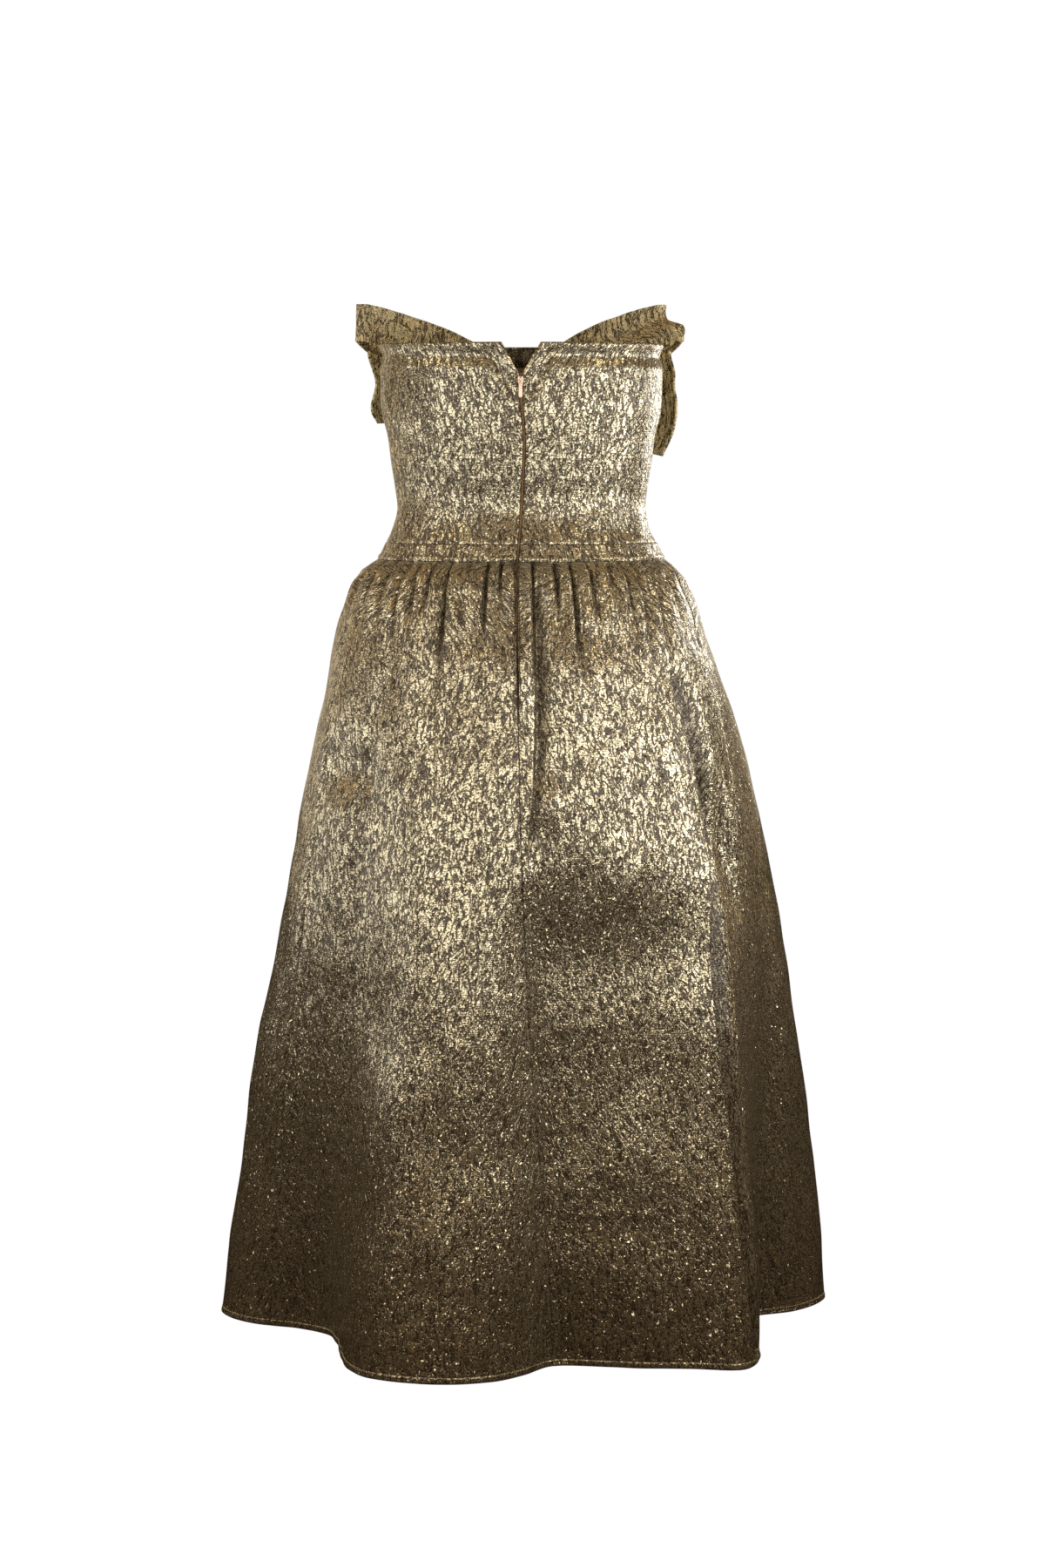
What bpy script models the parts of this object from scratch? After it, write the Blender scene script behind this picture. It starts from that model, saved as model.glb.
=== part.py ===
"""Strapless midi dress with a fitted bodice, a waistband, a full gathered skirt and a bow.

Metres, +Z up. The dress stands as worn: its front faces -Y, its back +Y, and the
wearer's left is +X. The origin is the centre of the waist seam, where the body holds it.

Every cloth piece is a thin wall. A point on the dress is found from an angle and a height:
the angle runs from the wearer's left (0) over the centre back (90) to the right (180) and
on to the centre front (270); the height is Z. Tables below give the sections at some
heights, and smooth curves through their rows give all the others.
"""

import math
from collections import namedtuple

import bmesh
import bpy

# ---------------------------------------------------------------- driving sizes (metres)

CLOTH = 0.0020            # wall of the crinkled cloth
SEAM_GAP = 0.0003         # space between neighbouring pieces
TOP_EDGE = 0.1930         # top of the bodice
BAND_HEIGHT = 0.0150      # waistband, standing on the waist seam
BAND_PROUD = 0.0005       # how far the band stands out from the bodice
HEM = -0.6930             # lower edge of the skirt
HEM_TURN = 0.0060         # depth of the narrow turned hem
HEM_PROUD = 0.0005        # how far the turned hem stands out
HEM_STEP = 0.0005         # height over which the hem steps out

NOTCH_BOTTOM = 0.1660     # V notch at the centre back
NOTCH_HALF_WIDTH = 0.0176

ZIP_HALF_GAP = 0.0015     # from the centre line to each cloth edge along the zip
ZIP_END = -0.1300         # lower end of the zip, in the skirt
ZIP_CLOSE = 0.0015        # height below the zip over which the cloth edges come together
CHAIN_HALF_WIDTH = 0.0011
CHAIN_SUNK = 0.0003       # chain face below the cloth face
CHAIN_THICK = 0.0019
TAPE_TOP = 0.1720
TAPE_THICK = 0.0010
TAPE_GAP = 0.0005         # between the cloth's inner face and the tape
TAPE_STEPS = (1.5, 3.0, 4.5)      # degrees from the centre line to the tape's columns

CUP_PROUD = 0.0060        # fullness that the front princess seams give
CUP_ANGLE = 25.0          # degrees from the centre front
CUP_SPREAD = 17.0
CUP_HEIGHT = 0.1300
CUP_TALL = 0.0420

SLIDER_CENTRE = 0.1600    # height of the pull tab's hinge line
PLATE_HALF_WIDTH = 0.0022
PLATE_HALF_TALL = 0.0034
PLATE_THICK = 0.0010
PLATE_CORNER = 0.0010     # radius of its corners
PLATE_GAP = 0.0004
BRIDGE_HALF_WIDTH = 0.0006
BRIDGE_HALF_TALL = 0.0017
BRIDGE_HOLE_HALF_TALL = 0.0010
BRIDGE_HOLE_DEPTH = 0.0019
BRIDGE_BAR = 0.0006       # thickness of the bar that the tab hangs from
BRIDGE_SHOULDER = 0.00024 # how far the bridge's sides rise past the hole before they slope
TAB_THICK = 0.0008
TAB_WINDOW_HALF_WIDTH = 0.0010
TAB_WINDOW_TALL = 0.0027

KNOT_HALF_WIDTH = 0.0160
KNOT_HALF_TALL = 0.0230
KNOT_HALF_DEPTH = 0.0100
KNOT_HEIGHT = 0.1640      # height of its centre
KNOT_BOXY = 0.6           # 1 is an ellipsoid, less is boxier

# ---------------------------------------------------------------- tables

# Sections of the bodice and waistband, from the top edge down. The last two columns are how
# far the princess seams stand from the centre line, at the back and at the front.
BodiceSection = namedtuple("BodiceSection", "z half_width back front back_seam front_seam")
BODICE = [
    BodiceSection(0.1930, 0.1282, 0.0965, 0.1120, 0.0980, 0.0700),
    BodiceSection(0.1760, 0.1279, 0.0960, 0.1150, 0.0905, 0.0690),
    BodiceSection(0.1640, 0.1276, 0.0955, 0.1170, 0.0880, 0.0680),
    BodiceSection(0.1338, 0.1266, 0.0935, 0.1180, 0.0830, 0.0670),
    BodiceSection(0.1111, 0.1214, 0.0910, 0.1120, 0.0785, 0.0640),
    BodiceSection(0.0946, 0.1190, 0.0885, 0.1060, 0.0750, 0.0610),
    BodiceSection(0.0687, 0.1151, 0.0850, 0.0950, 0.0730, 0.0570),
    BodiceSection(0.0522, 0.1145, 0.0840, 0.0920, 0.0720, 0.0550),
    BodiceSection(0.0372, 0.1160, 0.0850, 0.0920, 0.0725, 0.0550),
    BodiceSection(0.0246, 0.1182, 0.0880, 0.0940, 0.0737, 0.0560),
    BodiceSection(0.0153, 0.1222, 0.0915, 0.0965, 0.0750, 0.0570),
    BodiceSection(0.0000, 0.1290, 0.0965, 0.1000, 0.0780, 0.0580),
]

# Sections of the skirt before its folds are pressed in.
SkirtSection = namedtuple("SkirtSection", "z left right back front")
SKIRT = [
    SkirtSection(0.0000, 0.1290, 0.1290, 0.0965, 0.1000),
    SkirtSection(-0.0060, 0.1370, 0.1355, 0.1035, 0.1065),
    SkirtSection(-0.0120, 0.1430, 0.1410, 0.1085, 0.1115),
    SkirtSection(-0.0195, 0.1490, 0.1465, 0.1130, 0.1155),
    SkirtSection(-0.0305, 0.1545, 0.1520, 0.1175, 0.1200),
    SkirtSection(-0.0460, 0.1605, 0.1590, 0.1235, 0.1260),
    SkirtSection(-0.0780, 0.1700, 0.1700, 0.1350, 0.1370),
    SkirtSection(-0.1090, 0.1760, 0.1820, 0.1450, 0.1470),
    SkirtSection(-0.1500, 0.1857, 0.1965, 0.1590, 0.1600),
    SkirtSection(-0.2190, 0.1995, 0.2150, 0.1800, 0.1800),
    SkirtSection(-0.2830, 0.2109, 0.2295, 0.1970, 0.1960),
    SkirtSection(-0.3690, 0.2257, 0.2456, 0.2160, 0.2150),
    SkirtSection(-0.4590, 0.2440, 0.2580, 0.2350, 0.2330),
    SkirtSection(-0.5520, 0.2562, 0.2666, 0.2520, 0.2490),
    SkirtSection(-0.6160, 0.2654, 0.2742, 0.2610, 0.2570),
    SkirtSection(-0.6930, 0.2739, 0.2771, 0.2700, 0.2650),
]

# Where the long seams run, as angles, from the top edge to the hem. The centre back seam
# sways a little with the cloth and settles into the valley between two folds.
SeamLine = namedtuple("SeamLine", "z left_side centre_back right_side")
SEAMS = [
    SeamLine(0.1930, 11.0, 90.0, 169.0),
    SeamLine(0.1510, 11.0, 89.8, 169.0),
    SeamLine(0.1050, 11.0, 91.3, 169.0),
    SeamLine(0.0590, 11.0, 90.4, 169.0),
    SeamLine(0.0280, 11.0, 89.5, 169.0),
    SeamLine(0.0000, 11.0, 88.5, 169.0),
    SeamLine(-0.0250, 15.0, 88.6, 165.0),
    SeamLine(-0.0800, 19.0, 88.9, 161.0),
    SeamLine(-0.2400, 20.0, 89.9, 160.0),
    SeamLine(-0.4200, 18.0, 92.2, 162.0),
    SeamLine(-0.5750, 16.0, 95.4, 165.0),
    SeamLine(-0.6930, 14.0, 97.2, 168.0),
]

# The large folds of the skirt, once round: where each point of the plan lies at the hem,
# where it starts at the top of the folds, and its distance from the axis at the hem.
Fold = namedtuple("Fold", "hem_angle top_angle hem_radius")
FOLDS = [
    Fold(2.0, 4.0, 0.2734),
    Fold(11.7, 16.0, 0.2437),
    Fold(18.4, 30.0, 0.2129),
    Fold(29.0, 46.0, 0.1962),
    Fold(40.0, 52.0, 0.2124),
    Fold(50.0, 58.0, 0.2442),
    Fold(56.0, 62.0, 0.2690),
    Fold(65.0, 67.0, 0.2935),
    Fold(78.0, 77.0, 0.2890),
    Fold(85.0, 84.0, 0.2750),
    Fold(90.0, 89.0, 0.2520),
    Fold(96.5, 94.5, 0.2180),
    Fold(107.0, 103.0, 0.2263),
    Fold(116.0, 115.0, 0.2490),
    Fold(123.0, 127.0, 0.2690),
    Fold(130.0, 138.0, 0.2990),
    Fold(137.0, 144.0, 0.2840),
    Fold(150.0, 150.0, 0.2350),
    Fold(165.0, 160.0, 0.2060),
    Fold(175.0, 170.0, 0.2130),
    Fold(181.0, 178.0, 0.2520),
    Fold(194.0, 192.0, 0.2917),
    Fold(206.0, 204.0, 0.2480),
    Fold(218.0, 216.0, 0.2200),
    Fold(231.0, 231.0, 0.2500),
    Fold(245.0, 245.0, 0.2870),
    Fold(258.0, 258.0, 0.2600),
    Fold(270.0, 270.0, 0.2350),
    Fold(283.0, 283.0, 0.2600),
    Fold(297.0, 297.0, 0.2880),
    Fold(311.0, 311.0, 0.2450),
    Fold(325.0, 325.0, 0.2150),
    Fold(340.0, 340.0, 0.2500),
    Fold(352.0, 352.0, 0.2730),
]
FOLD_TOP = -0.0900        # height where the large folds start
FOLD_GROWTH = 1.15        # how their depth grows towards the hem: 1 is a straight line

# The gathers across the back: angle on the waist seam, how deep the groove is pressed in
# and how far down it runs.
Gather = namedtuple("Gather", "angle depth length")
BACK_GATHERS = [
    Gather(22.0, 0.0040, 0.060),
    Gather(32.0, 0.0045, 0.050),
    Gather(41.0, 0.0050, 0.070),
    Gather(48.5, 0.0055, 0.060),
    Gather(54.0, 0.0045, 0.045),
    Gather(61.5, 0.0065, 0.120),
    Gather(70.0, 0.0025, 0.020),
    Gather(77.0, 0.0060, 0.080),
    Gather(82.5, 0.0045, 0.040),
    Gather(94.5, 0.0080, 0.280),
    Gather(103.5, 0.0050, 0.060),
    Gather(109.5, 0.0060, 0.110),
    Gather(117.0, 0.0050, 0.050),
    Gather(126.0, 0.0035, 0.025),
    Gather(132.5, 0.0045, 0.060),
    Gather(138.5, 0.0050, 0.070),
    Gather(147.0, 0.0060, 0.090),
    Gather(158.0, 0.0040, 0.060),
]
# The front has these beside its side seams, and then the back's gathers, mirrored.
FRONT_SIDE_GATHERS = [
    Gather(180.0, 0.0040, 0.050),
    Gather(191.0, 0.0045, 0.070),
    Gather(348.0, 0.0045, 0.060),
    Gather(359.0, 0.0040, 0.050),
]
LONGEST_FRONT_GATHER = 0.110
GATHER_START = 0.35       # share of the depth at the waist seam itself
GATHER_DEEPEST = 0.0130   # distance below the seam where the grooves are fully open
GROOVE_SHARE = 0.32       # share of the way to the next groove that a groove's side takes
TROUGH_SHARE = 0.50       # the same where a long groove has opened into a plain trough
GROOVE_POWER = 2.0        # roundness of a groove's sides; a trough's are straight
PUFF = 0.0028             # how far the cloth swells between two grooves
PUFF_LENGTH = 0.1000
COLUMNS_PER_GATHER = 4
ROUNDING = 1e-6           # degrees

# The bow wraps round the bust. Angles count from the centre front, each height is Z, and
# stand_off is the distance from the bodice to the middle of the loop or tail.
LoopStation = namedtuple("LoopStation", "share stand_off low high half_puff")
LOOP = [
    LoopStation(0.00, 0.0125, 0.146, 0.182, 0.0036),
    LoopStation(0.17, 0.0190, 0.148, 0.194, 0.0090),
    LoopStation(0.38, 0.0240, 0.155, 0.208, 0.0125),
    LoopStation(0.62, 0.0280, 0.168, 0.219, 0.0130),
    LoopStation(0.83, 0.0310, 0.184, 0.227, 0.0095),
    LoopStation(1.00, 0.0330, 0.197, 0.231, 0.0048),
]
LOOP_FOLD = 0.0045        # how far the fold at a loop's end reaches past its last station
LOOP_ROWS = 7
LOOP_RIPPLES = 3          # gathers that run out from the knot
LOOP_RIPPLE_DEPTH = 0.0016

TailStation = namedtuple("TailStation", "share stand_off low_left low_right high")
TAIL = [
    TailStation(0.00, 0.0016, 0.136, 0.136, 0.160),
    TailStation(0.23, 0.0050, 0.131, 0.125, 0.163),
    TailStation(0.46, 0.0065, 0.128, 0.114, 0.168),
    TailStation(0.68, 0.0095, 0.125, 0.104, 0.174),
    TailStation(0.85, 0.0150, 0.123, 0.096, 0.181),
    TailStation(1.00, 0.0215, 0.122, 0.092, 0.189),
]
TAIL_ROWS = 6

# The pull tab's outline, as far as it hangs under its hinge line.
TabPoint = namedtuple("TabPoint", "half_width below")
TAB = [
    TabPoint(0.00153, -TAB_THICK / 2),
    TabPoint(0.00180, 0.0),
    TabPoint(0.00180, 0.0031),
    TabPoint(0.00144, 0.0051),
    TabPoint(0.00171, 0.0120),
    TabPoint(0.00162, 0.0147),
    TabPoint(0.00090, 0.0160),
]

# Where each loop and tail ends, as an angle from the centre front, at some heights.
BowEnd = namedtuple("BowEnd", "z loop_left loop_right tail_left tail_right")
BOW_ENDS = [
    BowEnd(0.235, 65.0, 54.0, 70.0, 66.0),
    BowEnd(0.218, 66.0, 54.5, 70.0, 66.0),
    BowEnd(0.212, 66.0, 63.0, 70.0, 66.0),
    BowEnd(0.190, 66.0, 65.0, 70.0, 67.0),
    BowEnd(0.165, 66.0, 65.0, 65.5, 69.5),
    BowEnd(0.132, 66.0, 65.0, 66.5, 74.5),
    BowEnd(0.122, 66.0, 65.0, 64.5, 73.5),
    BowEnd(0.092, 66.0, 65.0, 64.5, 68.0),
]
LOOP_ROOT = 6.9           # angles where the loops and the tails leave the knot
TAIL_ROOT = 6.8

# Rows of each wall, from top to bottom.
BODICE_ROWS = [0.1930, 0.1800, 0.1720, 0.1660, 0.1500, 0.1340, 0.1180, 0.1020, 0.0860,
               0.0690, 0.0520, 0.0370, 0.0250, BAND_HEIGHT + SEAM_GAP]
BAND_ROWS = [BAND_HEIGHT, BAND_HEIGHT / 2, 0.0]
GATHER_ROWS = [-SEAM_GAP, -0.0060, -0.0130, -0.0240, -0.0400, -0.0650, -0.0950, ZIP_END]
FOLD_ROWS = [ZIP_END - ZIP_CLOSE, -0.1700, -0.2150, -0.2650, -0.3200, -0.3750, -0.4300,
             -0.4850, -0.5400, -0.5950, -0.6450, HEM + HEM_TURN, HEM + HEM_TURN - HEM_STEP, HEM]

# ---------------------------------------------------------------- curves through the tables


def mix(start, end, share):
    return start + (end - start) * share


def ease(share):
    """0 to 1 with a flat start and a flat end."""
    share = min(max(share, 0.0), 1.0)
    return share * share * (3.0 - 2.0 * share)


def smooth_curve(points, where):
    """Value at where on a smooth curve through (position, value) points, positions rising."""
    last = len(points) - 1
    if where <= points[0][0]:
        return points[0][1]
    if where >= points[last][0]:
        return points[last][1]
    index = next(i for i in range(last) if where <= points[i + 1][0])

    def slope(i):
        before, after = points[max(i - 1, 0)], points[min(i + 1, last)]
        return (after[1] - before[1]) / (after[0] - before[0])

    (start, first), (end, second) = points[index], points[index + 1]
    span = end - start
    share = (where - start) / span
    square, cube = share * share, share * share * share
    return ((2 * cube - 3 * square + 1) * first + (cube - 2 * square + share) * span * slope(index)
            + (3 * square - 2 * cube) * second + (cube - square) * span * slope(index + 1))


def at_height(table, column, z):
    """One column of a table whose rows run downwards, at height z."""
    return smooth_curve([(row.z, getattr(row, column)) for row in reversed(table)], z)


# ---------------------------------------------------------------- the shape of the dress


def ellipse_point(left, right, back, front, angle):
    """Point on a section made of four quarter ellipses."""
    turn = math.radians(angle)
    across = (left if math.cos(turn) > 0 else right) * math.cos(turn)
    along = (back if math.sin(turn) > 0 else front) * math.sin(turn)
    return across, along


def angle_step(left, back, angle, distance):
    """Angle that moves a point by a short distance along its section."""
    turn = math.radians(angle)
    speed = math.hypot(left * math.sin(turn), back * math.cos(turn))
    return math.degrees(distance / speed)


def cup_fullness(angle, z):
    """Roundness over the bust, one cup on each side of the centre front."""
    from_centre = abs((angle - 270.0 + 180.0) % 360.0 - 180.0)
    across = math.exp(-((from_centre - CUP_ANGLE) / CUP_SPREAD) ** 2)
    return CUP_PROUD * across * math.exp(-((z - CUP_HEIGHT) / CUP_TALL) ** 2)


def bodice_point(angle, z, out=0.0):
    """Point of the bodice or the waistband, moved out from the face of the cloth."""
    half_width = at_height(BODICE, "half_width", z)
    x, y = ellipse_point(half_width, half_width, at_height(BODICE, "back", z),
                         at_height(BODICE, "front", z), angle)
    radius = math.hypot(x, y)
    grow = (radius + cup_fullness(angle, z) + out) / radius
    return x * grow, y * grow, z


def fold_scale(bearing, z):
    """How much the large folds press the skirt in or out at a compass bearing."""
    share = max(FOLD_TOP - z, 0.0) / (FOLD_TOP - HEM)
    depth = share ** FOLD_GROWTH
    rows = [(mix(fold.top_angle, fold.hem_angle, share), fold.hem_radius) for fold in FOLDS]
    rows = ([(angle - 360.0, radius) for angle, radius in rows[-3:]] + rows
            + [(angle + 360.0, radius) for angle, radius in rows[:3]])
    bearing %= 360.0
    hem = SKIRT[-1]
    turn = math.radians(bearing)
    across = hem.left if math.cos(turn) > 0 else hem.right
    along = hem.back if math.sin(turn) > 0 else hem.front
    plain = 1.0 / math.hypot(math.cos(turn) / across, math.sin(turn) / along)
    return 1.0 + depth * (smooth_curve(rows, bearing) / plain - 1.0)


WAIST = next(seam for seam in SEAMS if seam.z == 0.0)


def gather_marks(start, end):
    """Grooves between two seams, the seams themselves included with no depth."""
    front = [gather._replace(angle=360.0 - gather.angle,
                             length=min(gather.length, LONGEST_FRONT_GATHER))
             for gather in BACK_GATHERS] + FRONT_SIDE_GATHERS
    inside = [gather for gather in BACK_GATHERS + front if start < gather.angle < end]
    inside.sort(key=lambda gather: gather.angle)
    return [Gather(start, 0.0, PUFF_LENGTH)] + inside + [Gather(end, 0.0, PUFF_LENGTH)]


SKIRT_SPANS = {
    "skirt_back_left": gather_marks(WAIST.left_side, WAIST.centre_back),
    "skirt_back_right": gather_marks(WAIST.centre_back, WAIST.right_side),
    "skirt_front": gather_marks(WAIST.right_side, WAIST.left_side + 360.0),
}


def gather_offset(marks, mark, z):
    """How far the gathers push the cloth in or out. The mark is an angle on the waist seam."""
    index = next(i for i in range(len(marks) - 1) if mark <= marks[i + 1].angle + ROUNDING)
    before, after = marks[index], marks[index + 1]
    share = (mark - before.angle) / (after.angle - before.angle)
    opened = mix(GATHER_START, 1.0, ease(-z / GATHER_DEEPEST))
    spread = ease(z / ZIP_END)
    reach, power = mix(GROOVE_SHARE, TROUGH_SHARE, spread), mix(GROOVE_POWER, 1.0, spread)
    offset = PUFF * math.sin(math.pi * share) * opened * (1.0 - ease(-z / PUFF_LENGTH))
    for gather, away in ((before, share), (after, 1.0 - share)):
        side = max(1.0 - away / reach, 0.0) ** power
        offset -= gather.depth * side * opened * (1.0 - ease(-z / gather.length))
    return offset


def skirt_point(piece, mark, z, out=0.0):
    """Point of a skirt piece. The mark is the column's angle on the waist seam."""
    marks = SKIRT_SPANS[piece]
    left_side = at_height(SEAMS, "left_side", z)
    centre_back = at_height(SEAMS, "centre_back", z)
    right_side = at_height(SEAMS, "right_side", z)
    ends = {"skirt_back_left": (left_side, centre_back),
            "skirt_back_right": (centre_back, right_side),
            "skirt_front": (right_side, left_side + 360.0)}[piece]
    share = (mark - marks[0].angle) / (marks[-1].angle - marks[0].angle)
    left, right, back, front = (at_height(SKIRT, column, z)
                                for column in ("left", "right", "back", "front"))
    x, y = ellipse_point(left, right, back, front, mix(*ends, share))
    radius = math.hypot(x, y)
    bearing = math.degrees(math.atan2(y, x))
    full = radius * fold_scale(bearing, z) + gather_offset(marks, mark, z)
    grow = (full + out) / radius
    return x * grow, y * grow, z


# ---------------------------------------------------------------- mesh and material helpers


def new_material(name, colour, roughness, metallic):
    material = bpy.data.materials.new(name)
    material.use_nodes = True
    shader = material.node_tree.nodes["Principled BSDF"]
    shader.inputs["Base Color"].default_value = (*colour, 1.0)
    shader.inputs["Roughness"].default_value = roughness
    shader.inputs["Metallic"].default_value = metallic
    return material


def new_object(name, shape, material, parent):
    """Turns a closed bmesh into a named object with its faces pointing out."""
    bmesh.ops.recalc_face_normals(shape, faces=shape.faces[:])
    mesh = bpy.data.meshes.new(name)
    shape.to_mesh(mesh)
    shape.free()
    mesh.materials.append(material)
    mesh.shade_smooth()
    mesh.set_sharp_from_angle(angle=math.radians(40.0))
    item = bpy.data.objects.new(name, mesh)
    bpy.context.scene.collection.objects.link(item)
    item.parent = parent
    item.matrix_parent_inverse = parent.matrix_world.inverted()
    return item


def cloth_wall(rows):
    """Closed wall from rows of (outer point, inner point) pairs. A row may have every other
    column of the row above it."""
    shape = bmesh.new()
    sides = [[[shape.verts.new(pair[side]) for pair in row] for row in rows] for side in (0, 1)]
    for face in sides:
        for upper, lower in zip(face, face[1:]):
            if len(upper) == len(lower):
                for i in range(len(upper) - 1):
                    shape.faces.new((upper[i], lower[i], lower[i + 1], upper[i + 1]))
            else:
                for i in range(len(lower) - 1):
                    first, middle, last = upper[2 * i:2 * i + 3]
                    shape.faces.new((first, lower[i], middle))
                    shape.faces.new((middle, lower[i], lower[i + 1]))
                    shape.faces.new((middle, lower[i + 1], last))
    outer, inner = sides
    for row in (0, -1):
        for i in range(len(outer[row]) - 1):
            shape.faces.new((outer[row][i], outer[row][i + 1], inner[row][i + 1], inner[row][i]))
    for column in (0, -1):
        for upper, lower in zip(range(len(outer)), range(1, len(outer))):
            shape.faces.new((outer[upper][column], outer[lower][column],
                             inner[lower][column], inner[upper][column]))
    return shape


def add_box(shape, low, high):
    """Adds a box to a bmesh, between two corners, and returns its vertices."""
    made = bmesh.ops.create_cube(shape, size=1.0)["verts"]
    for vertex in made:
        vertex.co = [mix(low[axis], high[axis], vertex.co[axis] + 0.5) for axis in range(3)]
    return made


# ---------------------------------------------------------------- bodice and waistband


def seam_edge(z, which, side):
    """Angle of a bodice piece's edge beside a seam: side is -1 before the seam, 1 after it."""
    half_width = at_height(BODICE, "half_width", z)
    back, front = at_height(BODICE, "back", z), at_height(BODICE, "front", z)
    half_gap = SEAM_GAP / 2
    if which == "centre_back":
        angle = at_height(SEAMS, "centre_back", z)
        opening = max(z - NOTCH_BOTTOM, 0.0) / (TOP_EDGE - NOTCH_BOTTOM)
        half_gap = mix(ZIP_HALF_GAP, NOTCH_HALF_WIDTH, opening)
    elif which in ("left_side", "right_side"):
        angle = at_height(SEAMS, which, z)
    else:
        place, hand = which.rsplit("_", 1)
        turn = math.degrees(math.acos(at_height(BODICE, place, z) / half_width))
        angle = {("back_seam", "left"): turn,
                 ("back_seam", "right"): 180.0 - turn,
                 ("front_seam", "left"): 360.0 - turn,
                 ("front_seam", "right"): 180.0 + turn}[place, hand]
    depth = back if angle % 360.0 < 180.0 else front
    return angle + side * angle_step(half_width, depth, angle, half_gap)


BODICE_PIECES = [
    # name, seam it starts at, seam it ends at, columns
    ("bodice_side_back_left", "left_side", "back_seam_left", 5),
    ("bodice_back_left", "back_seam_left", "centre_back", 6),
    ("bodice_back_right", "centre_back", "back_seam_right", 6),
    ("bodice_side_back_right", "back_seam_right", "right_side", 5),
    ("bodice_side_front_right", "right_side", "front_seam_right", 7),
    ("bodice_front", "front_seam_right", "front_seam_left", 9),
    ("bodice_side_front_left", "front_seam_left", "left_side", 7),
]

BAND_PIECES = [
    ("waistband_back_left", "left_side", "centre_back", 12),
    ("waistband_back_right", "centre_back", "right_side", 12),
    ("waistband_front", "right_side", "left_side", 24),
]


def bodice_wall(start, end, columns, heights, proud):
    """Wall of one bodice or band piece between two seams."""
    rows = []
    for z in heights:
        first, last = seam_edge(z, start, 1), seam_edge(z, end, -1)
        if last < first:
            last += 360.0
        angles = [mix(first, last, column / columns) for column in range(columns + 1)]
        rows.append([(bodice_point(angle, z, proud), bodice_point(angle, z, -CLOTH))
                     for angle in angles])
    return cloth_wall(rows)


def make_bodice(cloth, parent):
    for name, start, end, columns in BODICE_PIECES:
        new_object(name, bodice_wall(start, end, columns, BODICE_ROWS, 0.0), cloth, parent)


def make_waistband(cloth, parent):
    for name, start, end, columns in BAND_PIECES:
        new_object(name, bodice_wall(start, end, columns, BAND_ROWS, BAND_PROUD), cloth, parent)


# ---------------------------------------------------------------- skirt


def skirt_marks(piece):
    """Columns of a skirt piece: an even number of steps between neighbouring grooves."""
    marks = SKIRT_SPANS[piece]
    columns = [mix(before.angle, after.angle, step / COLUMNS_PER_GATHER)
               for before, after in zip(marks, marks[1:]) for step in range(COLUMNS_PER_GATHER)]
    return columns + [marks[-1].angle]


def off_seam(piece, mark, side, z, half_gap):
    """Mark beside a seam: side is 1 where the piece starts and -1 where it ends."""
    per_degree = math.dist(skirt_point(piece, mark, z), skirt_point(piece, mark + side, z))
    return mark + side * half_gap / per_degree


def skirt_wall(piece):
    """Wall of one skirt piece, with half as many columns below the gathers."""
    columns = skirt_marks(piece)
    rows = []
    for z in GATHER_ROWS + FOLD_ROWS:
        marks = columns[:] if z >= ZIP_END else columns[::2]
        for end, side, zipped_piece in ((0, 1, "skirt_back_right"), (-1, -1, "skirt_back_left")):
            zipped = piece == zipped_piece and z >= ZIP_END
            marks[end] = off_seam(piece, marks[end], side, z, ZIP_HALF_GAP if zipped else SEAM_GAP / 2)
        proud = HEM_PROUD if z < HEM + HEM_TURN else 0.0
        rows.append([(skirt_point(piece, mark, z, proud), skirt_point(piece, mark, z, -CLOTH))
                     for mark in marks])
    return cloth_wall(rows)


def make_skirt(cloth, parent):
    for piece in SKIRT_SPANS:
        new_object(piece, skirt_wall(piece), cloth, parent)


# ---------------------------------------------------------------- zip


def centre_back_point(z, degrees, across, out):
    """Point near the centre back line: degrees and then a short distance across to the
    right of the wearer, moved out from the face of the cloth."""
    if z >= 0.0:
        half_width, back = at_height(BODICE, "half_width", z), at_height(BODICE, "back", z)
        angle = at_height(SEAMS, "centre_back", z) + degrees
        angle += angle_step(half_width, back, angle, across)
        return bodice_point(angle, z, out)
    piece = "skirt_back_right" if degrees + across >= 0.0 else "skirt_back_left"
    left, back = at_height(SKIRT, "left", z), at_height(SKIRT, "back", z)
    mark = WAIST.centre_back + degrees + angle_step(left, back, WAIST.centre_back, across)
    return skirt_point(piece, mark, z, out)


def zip_heights(top):
    return [top] + [z for z in BODICE_ROWS + BAND_ROWS + GATHER_ROWS if z < top]


def make_zip(tape_cloth, coil, parent):
    for side, hand in ((-1, "left"), (1, "right")):
        rows = []
        for z in zip_heights(TAPE_TOP):
            outs = (-CLOTH - TAPE_GAP, -CLOTH - TAPE_GAP - TAPE_THICK)
            edge = [[centre_back_point(z, 0.0, side * SEAM_GAP / 2, out) for out in outs]]
            edge += [[centre_back_point(z, side * step, 0.0, out) for out in outs]
                     for step in TAPE_STEPS]
            rows.append(edge)
        new_object("zip_tape_" + hand, cloth_wall(rows), tape_cloth, parent)
    rows = [[[centre_back_point(z, 0.0, side * CHAIN_HALF_WIDTH, out)
              for out in (-CHAIN_SUNK, -CHAIN_SUNK - CHAIN_THICK)] for side in (-1, 1)]
            for z in zip_heights(NOTCH_BOTTOM)]
    new_object("zip_chain", cloth_wall(rows), coil, parent)


def slider_place():
    """The slider's origin: on the hinge line of the pull tab, outside the cloth."""
    x, y, z = centre_back_point(SLIDER_CENTRE, 0.0, 0.0, 0.0)
    return x, y + PLATE_GAP + PLATE_THICK + BRIDGE_HOLE_DEPTH / 2, z


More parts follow.
